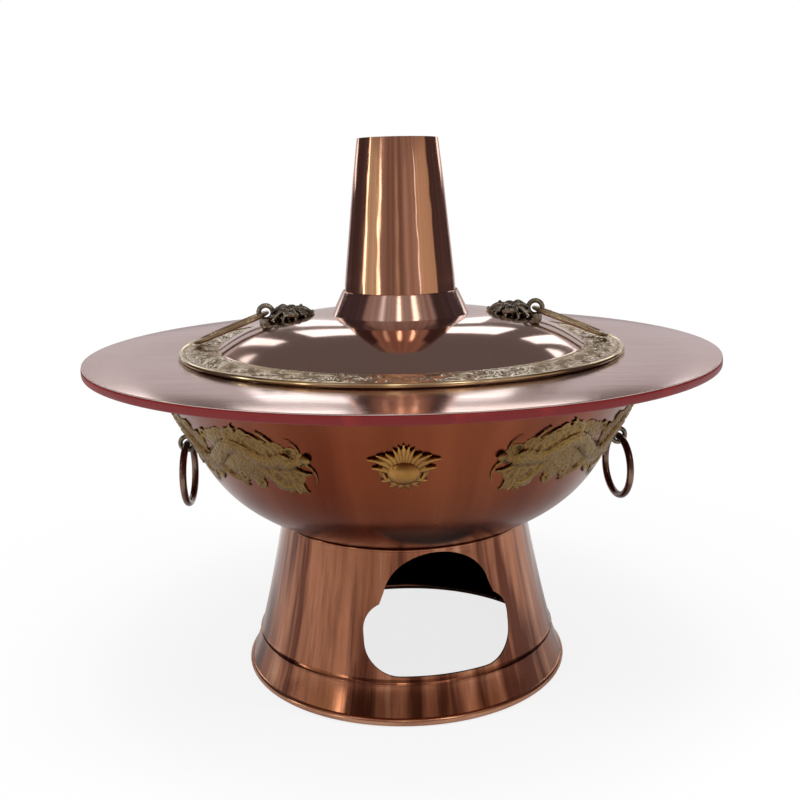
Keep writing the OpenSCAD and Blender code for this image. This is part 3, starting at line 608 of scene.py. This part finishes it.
# ---- Lid loops ----
# Long cast loops that lie on the lid from their eyes: a thicker strand between two thinner
# ones. They are lifted upright to take the lid off.
def rod(name, points, radii, closed=False, sides=4, smoothing=3):
    """A smooth round rod through points in millimetres, thick as the radii say."""
    bpy.ops.object.select_all(action="DESELECT")
    bpy.ops.curve.primitive_nurbs_path_add()
    piece = bpy.context.object
    piece.name = name
    path = piece.data
    path.splines.clear()
    line = path.splines.new("NURBS")
    line.points.add(len(points) - 1)
    for knot, point, radius in zip(line.points, points, radii):
        knot.co = (*(Vector(point) * mm), 1)
        knot.radius = radius
    line.order_u, line.resolution_u = 4, smoothing
    line.use_cyclic_u, line.use_endpoint_u = closed, not closed
    path.bevel_depth, path.bevel_resolution, path.use_fill_caps = mm, sides, not closed
    bpy.ops.object.convert(target="MESH")
    return bpy.context.object


def ball(name, place_mm, radius, rings=8):
    """A round lump of a casting."""
    bpy.ops.mesh.primitive_uv_sphere_add(segments=2 * rings, ring_count=rings, radius=radius * mm,
                                         location=Vector(place_mm) * mm)
    made = bpy.context.object
    made.name = name
    return made


def joined(name, pieces):
    """One mesh of several, its place in its vertices."""
    bpy.ops.object.select_all(action="DESELECT")
    for piece in pieces:
        piece.select_set(True)
    bpy.context.view_layer.objects.active = pieces[0]
    bpy.ops.object.join()
    whole = bpy.context.object
    bpy.ops.object.transform_apply(location=True, rotation=True, scale=True)
    whole.name = whole.data.name = name
    return whole


def mirrored(piece, name):
    """Copy of a finished piece on the other side of the pot."""
    pick(piece)
    bpy.ops.object.duplicate()
    other = bpy.context.object
    other.name = other.data.name = name
    bpy.ops.object.mode_set(mode="EDIT")
    bpy.ops.mesh.select_all(action="SELECT")
    bpy.ops.transform.mirror(constraint_axis=(True, False, False), center_override=(0, 0, 0))
    bpy.ops.mesh.flip_normals()
    bpy.ops.object.mode_set(mode="OBJECT")
    return other


loop_x, loop_z, loop_l, loop_w = 122.0, 328.5, 68.0, 39.0
dip = math.radians(21.4645)  # at rest the far end lies on the band


def oval(inset, count=14):
    """Points of the loop's outline, set in from its middle line, lying in the dipping plane."""
    end = loop_w / 2 - inset
    near, far = loop_w / 2, loop_l - loop_w / 2
    ends = []
    for middle, quarter in ((far, -0.5), (near, 0.5)):
        turns = [math.pi * (i / count + quarter) for i in range(count + 1)]
        ends.append([(middle + end * math.cos(a), end * math.sin(a)) for a in turns])
    straight = [(near + (far - near) * (i + 1) / 5, -end) for i in range(4)]
    flat = ends[0] + [(x, -y) for x, y in straight[::-1]] + ends[1] + straight
    return [(loop_x + x * math.cos(dip), y, loop_z - x * math.sin(dip)) for x, y in flat]


strands = []
for inset, thick in ((-1.5, 1.7), (1.5, 1.7), (0.0, 2.0)):
    line = oval(inset)
    strands.append(rod("strand", line, [thick] * len(line), closed=True))
loop_right = joined("lid_loop_right_cast", strands)
smooth(loop_right, 60)
loop_brass, tree, shader, cloud = dirty_brass(
    "dark_golden_loop_brass", "ring_metal", (34.0, 0.35, 0.65), ((0.60, 0.50, 0.33), (0.34, 0.24, 0.15)),
    ((0.05, 0.035, 0.028), 0.40, 0.50), (0.2, 0.34))
loop_left = mirrored(loop_right, "lid_loop_left_cast")
wear(loop_right, loop_brass, "lid_loop_right", "lid_loop_right")
wear(loop_left, loop_brass, "lid_loop_left", "lid_loop_left")


# ---- Lid mounts ----
# Each loop's eye stands before a small casting of curled leaves heaped round a knob, cast
# in one piece and darkened with age, with worn bright ridges.
mount_x, mount_z = 102.5, 324.5


def curl(x, y, z, radius, start, turns, thick, lean, hand, steps=14):
    """A cast curl: a rod that winds in on itself, thinner to its middle, in a leaning plane."""
    points, radii = [], []
    for i in range(steps + 1):
        t = i / steps
        turn = math.radians(start) + hand * turns * 2 * math.pi * t
        reach = radius * (1 - 0.8 * t)
        px, py = reach * math.cos(turn), reach * math.sin(turn)
        points.append((x + px, y + py * math.cos(lean), z + py * math.sin(lean)))
        radii.append(thick * (1 - 0.45 * t))
    return [rod("curl", points, radii, sides=2, smoothing=2), ball("curl_eye", points[-1], thick * 1.15, 5)]


def leaf(root, tip, rise, thick):
    """A cast leaf that arches from its root to its tip."""
    root, tip, points = Vector(root), Vector(tip), []
    for t in (0, 0.25, 0.5, 0.75, 1):
        points.append(root.lerp(tip, t) + Vector((0, 0, rise * math.sin(math.pi * t))))
    return rod("leaf", points, [thick * share for share in (0.7, 1.0, 0.95, 0.7, 0.3)], sides=2)


def on_mount(out, aside, up):
    """Place on the right mount: out towards the lid's edge, aside and up from its root."""
    return mount_x + out, aside, mount_z + up


casting = [ball("knob", on_mount(-4, 0, 5), 6.8), ball("bed", on_mount(-3, 0, -3.5), 12.5)]
for side in (-1, 1):
    for out, aside, up, radius, start, turns, thick, lean, hand in (
        (9, 11.5, 1.5, 6.5, 180, 1.3, 2.4, 0.45, 1), (-4, 15.0, 2.0, 7.2, 200, 1.35, 2.5, 0.45, -1),
        (-16, 8.5, 3.0, 6.2, 160, 1.3, 2.2, 0.3, 1), (4, 6.5, 7.0, 4.6, 30, 1.25, 1.9, 0.8, -1),
        (-9, 5.5, 7.5, 4.4, 120, 1.25, 1.8, 0.7, 1),
    ):
        at = on_mount(out, side * aside, up)
        casting += curl(*at, radius, start, turns, thick, lean * side, hand * side)
    for reach, spread, rise in (
        (-24, 6, 5), (-20, 14, 6), (-10, 21, 6), (2, 22, 5), (12, 18, 5), (14, 10, 4),
    ):
        casting.append(leaf(on_mount(-3, side * 3, 4), on_mount(reach, side * spread, -1.0), rise, 2.7))
    casting.append(leaf(on_mount(-2, side * 4, 7), on_mount(14, side * 6.5, 5.0), 3.0, 2.3))
casting.append(leaf(on_mount(-6, 0, 7), on_mount(-25, 0, 1), 4, 2.8))
casting.append(leaf(on_mount(0, 0, 8.5), on_mount(9, 0, 8.0), 2.0, 2.5))
mount_right = joined("lid_mount_right_cast", casting)
apply(mount_right, "REMESH", mode="VOXEL", voxel_size=0.55 * mm)
smooth(mount_right, 180)
mount_left = mirrored(mount_right, "lid_mount_left_cast")
mount_brass, tree, shader, cloud = dirty_brass(
    "darkened_mount_brass", "old_brass", (60.0, 0.4, 0.7), ((0.20, 0.18, 0.14), (0.70, 0.67, 0.58)),
    ((0.02, 0.018, 0.014), 0.46, 0.55), (0.3, 0.2))
wear(mount_right, mount_brass, "lid", "lid_mount_right")
wear(mount_left, mount_brass, "lid", "lid_mount_left")
recolour(mount_brass, "lid_eye_left", "lid_eye_right")


# ---- Flaming pearls ----
# A bright round pearl in a crown of flame tongues, cast in yellow brass and soldered to the
# bowl, at the front and again at the back.
ornament_z = 236


def on_wall(across, up, out):
    """Place on the bowl's wall: across along it, up from the ornaments' middle, out from it."""
    low, high = 0.0, 1.0
    a, b, c, d = bowl_pulls
    for halving in range(18):
        t = (low + high) / 2
        at = (1 - t) ** 3 * a + 3 * (1 - t) ** 2 * t * b + 3 * (1 - t) * t * t * c + t ** 3 * d
        low, high = (t, high) if at.y > ornament_z + up else (low, t)
    way = (3 * (1 - t) ** 2 * (b - a) + 6 * (1 - t) * t * (c - b) + 3 * t * t * (d - c)).normalized()
    radius, turn = at.x - out * way.y, across / at.x
    return Vector((radius * math.sin(turn), -radius * math.cos(turn), at.y + out * way.x)) * mm


def lay_on_wall(piece, back=-0.8, low=0.75):
    """Bends a casting that was made flat, facing +Z, onto the bowl, its back just in the sheet."""
    for point in piece.data.vertices:
        across, up, out = point.co / mm
        point.co = on_wall(across, up, max(out * low, back))
    smooth(piece, 180)


def flame(angle, length, thick, bend=0.25, root=7.0):
    """A flame tongue in the flat, from near the middle outward, bending sideways to a point."""
    a = math.radians(angle)
    out, side = Vector((math.cos(a), math.sin(a))), Vector((-math.sin(a), math.cos(a)))
    points = []
    for t in (0, 0.3, 0.6, 0.85, 1.0):
        sway = bend * length * math.sin(math.pi * t) * 0.5 + bend * 3 * t
        flat = out * (root + (length - root) * t) + side * sway
        points.append((flat.x, flat.y, 1.0 + 1.4 * math.sin(math.pi * (0.2 + 0.8 * t))))
    return rod("flame", points, [thick * share for share in (0.9, 1.0, 0.75, 0.45, 0.2)], sides=2)


# Direction in degrees, length and bend of each tongue: two wings, a low crown and a fringe below.
tongues = [
    (4, 24, 0.1), (17, 29, 0.25), (30, 24, 0.3), (46, 20, 0.25), (66, 20.5, 0.15), (79, 21.5, 0.05),
    (90, 22.5, 0), (101, 21.5, -0.05), (114, 20.5, -0.15), (134, 20, -0.25), (150, 24, -0.3),
    (163, 29, -0.25), (176, 24, -0.1), (207, 19.5, 0.1), (232, 18, 0.1), (256, 17.5, 0.05),
    (284, 17.5, -0.05), (308, 18, -0.1), (333, 19.5, -0.1),
]
crown = [flame(angle, length, 2.8, bend) for angle, length, bend in tongues]
bead_turns = [2 * math.pi * i / 16 for i in range(16)]
bead_line = [(15.5 * math.cos(a), 12.2 * math.sin(a), 2.2) for a in bead_turns]
crown.append(rod("collar_bead", bead_line, [1.5] * 16, closed=True, sides=3))
bed = ball("bed", (0, 0, 0), 19, 10)
bed.scale = (1.0, 0.8, 0.13)
setting = joined("pearl_setting", [*crown, bed])
apply(setting, "REMESH", mode="VOXEL", voxel_size=0.5 * mm)
pearl_ball = ball("pearl_ball", (0, 0, 1.0), 13.0, 28)
pearl_ball.scale = (1.0, 0.8, 0.72)
pearl_front = joined("pearl_front_cast", [pearl_ball, setting])
lay_on_wall(pearl_front, low=1.0)
relief_brass, tree, shader, cloud = dirty_brass(
    "yellow_relief_brass", "brass_relief", (45.0, 0.35, 0.7), ((0.38, 0.20, 0.05), (0.26, 0.12, 0.035)),
    ((0.10, 0.045, 0.02), 0.46, 0.53), (0.26, 0.44))
bumps(tree, shader, cloud, 0.15, 0.0005)


def turned(piece, name, degrees, flip=False):
    """Copy of a finished piece, mirrored if asked and turned about the pot's axis."""
    other = mirrored(piece, name)
    if not flip:
        other.data.transform(Matrix.Scale(-1, 4, (1, 0, 0)))
        other.data.flip_normals()
    other.data.transform(Matrix.Rotation(math.radians(degrees), 4, "Z"))
    return other


pearl_back = turned(pearl_front, "pearl_back_cast", 180)
wear(pearl_front, relief_brass, "root", "pearl_front")
wear(pearl_back, relief_brass, "root", "pearl_back")


# ---- Dragons ----
# Four long dragons among cloud curls, cast in pairs that chase the pearls. Each is one
# shallow casting, high along the body and lumpy between its curls, soldered to the bowl.
def limb(points, thick, height=1.5, taper=0.35):
    """A rod of the flat casting through (across, up) points, thinner towards its end."""
    count = len(points) - 1
    radii = [thick * (1 - (1 - taper) * i / count) for i in range(count + 1)]
    return rod("limb", [(x, y, height) for x, y in points], radii, sides=3, smoothing=4)


def cloud_curl(x, y, radius, start, hand, thick=1.7, height=0.9, steps=12):
    """A curl of cloud that winds in to its middle."""
    turns = [math.radians(start) + hand * 2.6 * math.pi * i / steps for i in range(steps + 1)]
    reach = [radius * (1 - 0.78 * i / steps) for i in range(steps + 1)]
    points = [(x + r * math.cos(a), y + r * math.sin(a), height) for r, a in zip(reach, turns)]
    return rod("cloud", points, [thick] * len(points), sides=2, smoothing=2)


# The flat casting, nose to the right: across from its middle and up, in millimetres.
spine = [(-86, 5), (-79, 12), (-70, 15), (-61, 11), (-52, 3), (-42, -6), (-31, -11), (-19, -8),
         (-8, 0), (3, 8), (14, 12), (25, 10), (35, 4), (45, 0), (54, 2), (61, 4)]
girth = [1.4, 2.6, 3.6, 4.6, 5.4, 6.2, 6.8, 7.0, 7.0, 7.0, 6.8, 6.4, 6.0, 5.8, 6.4, 6.8]
dragon = [rod("body", [(x, y, 1.2) for x, y in spine], girth, sides=4, smoothing=5)]
fins = 45
for i in range(1, fins + 1):
    t = 0.03 + 0.9 * i / (fins + 1)
    k = min(int(t * (len(spine) - 1)), len(spine) - 2)
    f = t * (len(spine) - 1) - k
    here, ahead = Vector(spine[k]).lerp(Vector(spine[k + 1]), f), Vector(spine[k + 1]) - Vector(spine[k])
    side = Vector((-ahead.y, ahead.x)).normalized()
    back = here + side * (girth[k] * 0.78)
    tip = here + side * (girth[k] + 2.6) - ahead.normalized() * 2.4
    dragon.append(limb([back, back.lerp(tip, 0.5), tip], 1.25, 1.8))
legs = [
    ([(34, 1), (38, -10), (44, -17), (52, -21)], 4.2), ([(14, 11), (9, 18), (13, 24), (20, 26)], 3.8),
    ([(-42, -6), (-52, -13), (-52, -22), (-44, -27)], 4.2),
    ([(-20, -8), (-14, -18), (-5, -23), (4, -24)], 3.8),
]
horns_and_jaws = [
    ([(58, 7), (52, 15), (46, 21), (38, 24)], 2.6), ([(62, 9), (60, 17), (54, 24), (47, 27)], 2.2),
    ([(60, 4), (70, 3), (78, 4), (83, 9)], 5.2), ([(62, -1), (70, -6), (77, -8), (80, -6)], 3.0),
    ([(76, 5), (84, 0), (86, -8), (80, -15)], 1.2), ([(74, 7), (82, 14), (78, 21), (70, 23)], 1.2),
]
mane_and_beard = [
    ([(60, -3), (62, -12), (58, -20), (62, -26)], 2.2), ([(66, -5), (69, -14), (66, -21), (70, -25)], 1.8),
    ([(50, 6), (42, 11), (33, 14), (26, 20)], 2.4), ([(50, 0), (42, -4), (34, -9), (28, -9)], 2.2),
    ([(53, -3), (48, -9), (42, -11), (37, -16)], 2.0),
]
tail_tufts = [
    ([(-80, 10), (-88, 17), (-84, 25), (-76, 26)], 2.4),
    ([(-74, 14), (-74, 21), (-66, 25), (-58, 24)], 2.2),
    ([(-82, 6), (-89, -1), (-84, -9), (-76, -10)], 2.2),
    ([(-76, 8), (-78, 0), (-70, -5), (-64, -3)], 1.8),
]
for line, thick in legs + horns_and_jaws + mane_and_beard + tail_tufts:
    dragon.append(limb(line, thick, 1.6))
# Claws: where each paw ends, and which way it points in degrees.
for x, y, aim in [(53, -21, -20), (21, 26, 10), (-43, -27, -10), (5, -24, 0)]:
    for spread in (-50, -15, 20, 55):
        a = math.radians(aim + spread)
        knuckle = (x + 3.5 * math.cos(a), y + 3.5 * math.sin(a))
        claw_tip = (x + 6.5 * math.cos(a - 0.4), y + 6.5 * math.sin(a - 0.4))
        dragon.append(limb([(x, y), knuckle, claw_tip], 1.5, 1.4, 0.3))
# Curls of cloud: middle, radius, the direction that the curl starts in, and its hand.
for x, y, radius, start, hand in [
    (-62, -14, 7, 40, 1), (-34, 8, 7.5, 200, -1), (-22, 14, 6, 300, 1), (-30, -24, 5, 20, -1),
    (-10, -12, 5.5, 90, 1), (18, -8, 7.5, 120, -1), (10, -18, 6, 10, 1), (26, -20, 6, 200, 1),
    (-4, 17, 6, 250, -1), (32, 22, 5, 0, 1), (-48, 18, 6, 150, 1), (-66, -2, 5, 270, -1),
    (44, 12, 4, 90, 1), (-70, -20, 4.5, 60, -1),
]:
    dragon.append(cloud_curl(x, y, radius, start, hand))
# Flat lumps that join the curls to the body: middle and radius.
for x, y, radius in [
    (-79, 10, 8), (-66, 15, 9), (-52, 12, 10), (-38, 4, 10), (-12, 12, 9), (2, 15, 10), (16, 17, 10),
    (30, 14, 10), (44, 12, 10), (58, 10, 10), (72, 7, 9), (-70, -3, 8), (-57, -9, 10), (-43, -15, 10),
    (-29, -17, 9), (-15, -12, 10), (-1, -8, 11), (13, -5, 11), (27, -7, 11), (41, -9, 10), (54, -10, 9),
    (66, -10, 7), (-48, -23, 6), (2, -19, 7), (20, -16, 8), (47, -19, 7), (63, -20, 6),
]:
    lump = ball("lump", (x, y, 0), radius)
    lump.scale = (1.0, 1.0, 0.24)
    dragon.append(lump)
skull = ball("skull", (63, 4, 2.0), 8.5)
skull.scale = (1.15, 0.9, 0.8)
brow = ball("brow", (67, 9, 6.5), 2.6, 6)
nose = ball("nose", (82, 7, 3.5), 3.6, 6)
dragon = joined("dragon_cast", [*dragon, skull, brow, nose])
apply(dragon, "REMESH", mode="VOXEL", voxel_size=0.7 * mm)
ripple = 0.8 * mm
for point in dragon.data.vertices:
    if point.co.z > 0:
        coarse, fine = noise.noise(point.co / (3.2 * mm)), noise.noise(point.co / (1.7 * mm))
        point.co.z += ripple * coarse + ripple * fine
lay_on_wall(dragon, low=0.62)
dragon_brass, tree, shader, cloud = dirty_brass(
    "dull_dragon_brass", "brass_relief", (22.0, 0.35, 0.7), ((0.22, 0.14, 0.045), (0.16, 0.09, 0.032)),
    ((0.09, 0.045, 0.02), 0.43, 0.52), (0.3, 0.46))
scales = add(tree, "TexVoronoi", {"Vector": add(tree, "TexCoord").outputs["Object"], "Scale": 330.0})
bumps(tree, shader, scales.outputs["Distance"], 0.3, 0.0006)
dragon_turn = 44
for name, degrees, flip in [
    ("dragon_front_left", -dragon_turn, False), ("dragon_front_right", dragon_turn, True),
    ("dragon_back_left", 180 + dragon_turn, True), ("dragon_back_right", 180 - dragon_turn, False),
]:
    wear(turned(dragon, name + "_cast", degrees, flip), dragon_brass, "root", name)
bpy.data.objects.remove(dragon)
recolour(roll_brass, "chimney_stop")


# ---- Chimney ----
# A tapering tube of polished copper that slides over the fire tube and lifts off. It is
# drawn and polished upright, and its colour carries long narrow upright streaks that are partly polish
# marks and partly painted reflections and highlights.
mouth_r, mouth_z, chimney_r, chimney_foot, chimney_wall = 35.6, 480, 50, 318, 1.5
chimney_line = [(mouth_r, mouth_z), (40, 444), (45.1, 396), (49.2, 358)]
chimney_line += arc((chimney_r - 3, 348), 3, 20, 0, 2) + [Vector((chimney_r, chimney_foot))]
chimney = spun("chimney_tube", sheet(chimney_line, chimney_wall))
chimney_copper, tree, shader = metal("drawn_chimney_copper_painted_reflections", "chimney_copper", (0.78, 0.47, 0.34),
                                     Roughness=0.12)
streak = place(tree, streaks, Around=7.0, Up=0.8, Detail=3.0)
fine = place(tree, streaks, Around=38.0, Up=1.0, Detail=3.0)
# Painted reflections: broad streaks set light and dark upright bands, and fine streaks paint thin
# near-white highlight lines down the tube.
tone = blend(tree, between(tree, streak, 0.36, 0.64), (0.50, 0.25, 0.17), (0.76, 0.44, 0.31))
tone = blend(tree, between(tree, fine, 0.5, 0.72, 0.0, 0.4), tone, (0.95, 0.72, 0.56))
feed(tree, shader, Base_Color=tone, Roughness=between(tree, fine, 0.3, 0.7, 0.16, 0.08))
bumps(tree, shader, place(tree, streaks, Around=5.0, Up=26.0, Detail=1.0), 0.12, 0.002)
wear(chimney, chimney_copper, "chimney", "chimney")


# ---- Floor and studio ----
# A plain pale floor that keeps the pot's shadow, and a round wall and ceiling of coloured
# cards that only polished metal sees. The white studio shows in the gaps of the lowest row.
bpy.ops.object.select_all(action="DESELECT")
bpy.ops.mesh.primitive_plane_add(size=24, location=(0, 0, 0))
floor = bpy.context.object
floor.name = "studio_floor"
paper = bpy.data.materials.new("white_paper_floor")
paper.use_nodes = True
tree = paper.node_tree
matt = tree.nodes["Principled BSDF"]
matt.inputs["Base Color"].default_value = (0.8, 0.8, 0.8, 1)
matt.inputs["Roughness"].default_value = 0.9
matt.inputs["Specular IOR Level"].default_value = 0.0
glow = add(tree, "Emission", {"Color": (1, 1, 1, 1), "Strength": 1.0})
seen = add(tree, "LightPath")
apart = vectors(tree, "LENGTH", add(tree, "TexCoord").outputs["Object"])["Value"]
share = maths(tree, "MULTIPLY", seen.outputs["Is Camera Ray"], between(tree, apart, 0.2, 0.8, 0.8, 1.0))
both = add(tree, "MixShader", {0: share, 1: matt.outputs[0], 2: glow.outputs[0]})
tree.links.new(both.outputs[0], tree.nodes["Material Output"].inputs["Surface"])
floor.data.materials.append(paper)

wall_r, ceiling = 2400, 3400
tones = {
    "dark": (0.075, 0.052, 0.055), "brown_dark": (0.17, 0.135, 0.125), "brown": (0.27, 0.20, 0.175),
    "light_brown": (0.40, 0.30, 0.26), "tan": (0.54, 0.42, 0.31), "gold": (0.58, 0.52, 0.38),
    "grey": (0.40, 0.33, 0.32), "soft": (0.60, 0.54, 0.54), "pale": (0.72, 0.64, 0.59),
    "bright": (1.1, 1.03, 1.0), "window": (2.2, 2.15, 2.1), "line": (4.2, 4.1, 3.6),
}
cards = {}
for name, colour in tones.items():
    card = bpy.data.materials.new(name + "_studio_card")
    card.use_nodes = True
    tree = card.node_tree
    tree.nodes.remove(tree.nodes["Principled BSDF"])
    dim = add(tree, "Emission", {"Color": (*colour, 1), "Strength": 1.0})
    tree.links.new(dim.outputs[0], tree.nodes["Material Output"].inputs["Surface"])
    cards[name] = card


def round_pot(start, end, height):
    """Points of the studio's wall between two directions, 0 degrees being the camera's."""
    count = max(2, round((end - start) / 6))
    turns = [math.radians(start + (end - start) * i / count) for i in range(count + 1)]
    return [(wall_r * math.sin(a), -wall_r * math.cos(a), height) for a in turns]


def hang(panel, tone):
    """Gives a card its tone and hides it from all but reflections."""
    bpy.ops.object.mode_set(mode="OBJECT")
    panel.data.materials.append(cards[tone])
    panel.visible_camera = panel.visible_diffuse = panel.visible_shadow = panel.visible_transmission = False


# Rows of cards, from their bottom to their top, each card from one direction to another.
rows = [
    (30, 240, [(-180, -106, "pale"), (-106, -76, "grey"), (-72, -50, "pale"), (-46, -20, "pale"),
        (-17, 46, "pale"), (50, 66, "grey"), (68, 180, "pale")]),
    (240, 1060, [(-83, -78, "line"), (-78, -49, "gold"), (-49, -44, "line"), (-44, -6, "brown"),
        (-6, -3, "tan"), (-3, 12, "brown"), (12, 40, "light_brown"), (40, 42, "window"),
        (42, 82, "tan")]),
    (240, 620, [(-180, -150, "soft"), (-150, -83, "dark"), (82, 150, "dark"), (150, 180, "soft")]),
    (620, 780, [(-180, -150, "soft"), (-147, -136, "window"), (-136, -83, "dark"), (82, 136, "dark"),
        (136, 147, "window"), (150, 180, "soft")]),
    (780, 1060, [(-180, -177, "soft"), (-177, -168, "window"), (-168, -150, "soft"),
        (-150, -83, "dark"), (82, 150, "dark"), (150, 167, "soft"), (167, 171, "grey"),
        (171, 178, "window"), (178, 180, "soft")]),
    (1060, 1300, [(-180, -158, "brown_dark"), (-158, -153, "window"), (-153, -146, "brown"),
        (-146, -134, "window"), (-134, -75, "dark"), (-75, -44, "brown"), (-44, -37, "light_brown"),
        (-37, 28, "brown"), (28, 34, "light_brown"), (34, 70, "brown"), (70, 134, "dark"),
        (134, 146, "window"), (146, 150, "brown"), (150, 156, "window"), (156, 180, "brown_dark")]),
    (1300, 1780, [(-180, -175, "brown_dark"), (-175, -165, "window"), (-165, -158, "brown_dark"),
        (-158, -153, "window"), (-153, -146, "brown_dark"), (-146, -134, "window"), (-134, -75, "dark"),
        (-75, -44, "brown"), (-44, -37, "bright"), (-37, 28, "brown"), (28, 36, "bright"),
        (36, 70, "brown"), (70, 134, "dark"), (134, 146, "window"), (146, 150, "brown_dark"),
        (150, 156, "window"), (156, 163, "brown_dark"), (163, 177, "window"),
        (177, 180, "brown_dark")]),
    (1780, ceiling, [(-180, -134, "brown_dark"), (-134, -75, "dark"), (-75, -44, "light_brown"),
        (-44, -35, "bright"), (-35, -7, "light_brown"), (-7, 0, "line"), (0, 27, "light_brown"),
        (27, 36, "line"), (36, 70, "light_brown"), (70, 134, "dark"), (134, 180, "brown_dark")]),
]
for bottom, top, spans in rows:
    for start, end, tone in spans:
        panel = draw("studio_card", round_pot(start, end, bottom))
        bpy.ops.mesh.extrude_edges_move(TRANSFORM_OT_translate={"value": (0, 0, (top - bottom) * mm)})
        hang(panel, tone)
for start, end, tone in [(90, 270, "brown_dark"), (-90, 90, "light_brown")]:
    half_round = round_pot(start, end, ceiling)
    panel = draw("ceiling_card", half_round + half_round[:1])
    bpy.ops.mesh.edge_face_add()
    hang(panel, tone)


scene = bpy.context.scene
middle = (0, 0, 0.24)


def softbox(name, stands_at, size, power):
    """A white rectangular lamp that looks at the pot's middle."""
    lamp = bpy.data.lights.new(name, "AREA")
    lamp.shape, lamp.energy = "RECTANGLE", power
    lamp.size, lamp.size_y = size
    holder = bpy.data.objects.new(name, lamp)
    scene.collection.objects.link(holder)
    holder.location = stands_at
    holder.visible_glossy = False
    holder.rotation_euler = (Vector(middle) - Vector(stands_at)).to_track_quat("-Z", "Y").to_euler()


softbox("left_window", (-1.55, -1.1, 1.9), (0.5, 0.7), 22)
softbox("right_window", (1.85, -0.4, 1.6), (0.4, 0.6), 16)
softbox("ceiling_light", (0.0, -0.3, 2.3), (0.7, 0.5), 14)

world = bpy.data.worlds.new("white_studio")
scene.world = world
world.use_nodes = True
tree = world.node_tree
white = tree.nodes["Background"]
white.inputs["Color"].default_value = (1, 1, 1, 1)
white.inputs["Strength"].default_value = 1.0
grey = add(tree, "Background", {"Color": (1, 1, 1, 1), "Strength": 0.75})
seen = add(tree, "LightPath").outputs
direct = maths(tree, "MAXIMUM", seen["Is Camera Ray"], seen["Is Glossy Ray"])
direct = maths(tree, "MAXIMUM", direct, seen["Is Transmission Ray"])
both = add(tree, "MixShader", {0: direct, 1: grey.outputs[0], 2: white.outputs[0]})
tree.links.new(both.outputs[0], tree.nodes["World Output"].inputs["Surface"])


# ---- Camera ----
# The photograph was taken just above the brim, 12 degrees down, and is rolled by a degree.
focal_px, frame_px, sensor = 1005, 800, 36
lens = bpy.data.cameras.new("photo_camera")
lens.sensor_width, lens.lens = sensor, sensor * focal_px / frame_px
camera = bpy.data.objects.new("photo_camera", lens)
scene.collection.objects.link(camera)
pitch, roll_angle = math.radians(12), 0.019
stands_at = Matrix.Translation((-0.002, -0.907, 0.4386))
camera.matrix_world = (stands_at @ Matrix.Rotation(math.pi / 2 - pitch, 4, "X")
                       @ Matrix.Rotation(-roll_angle, 4, "Z"))
scene.camera = camera
scene.view_settings.view_transform = "Standard"
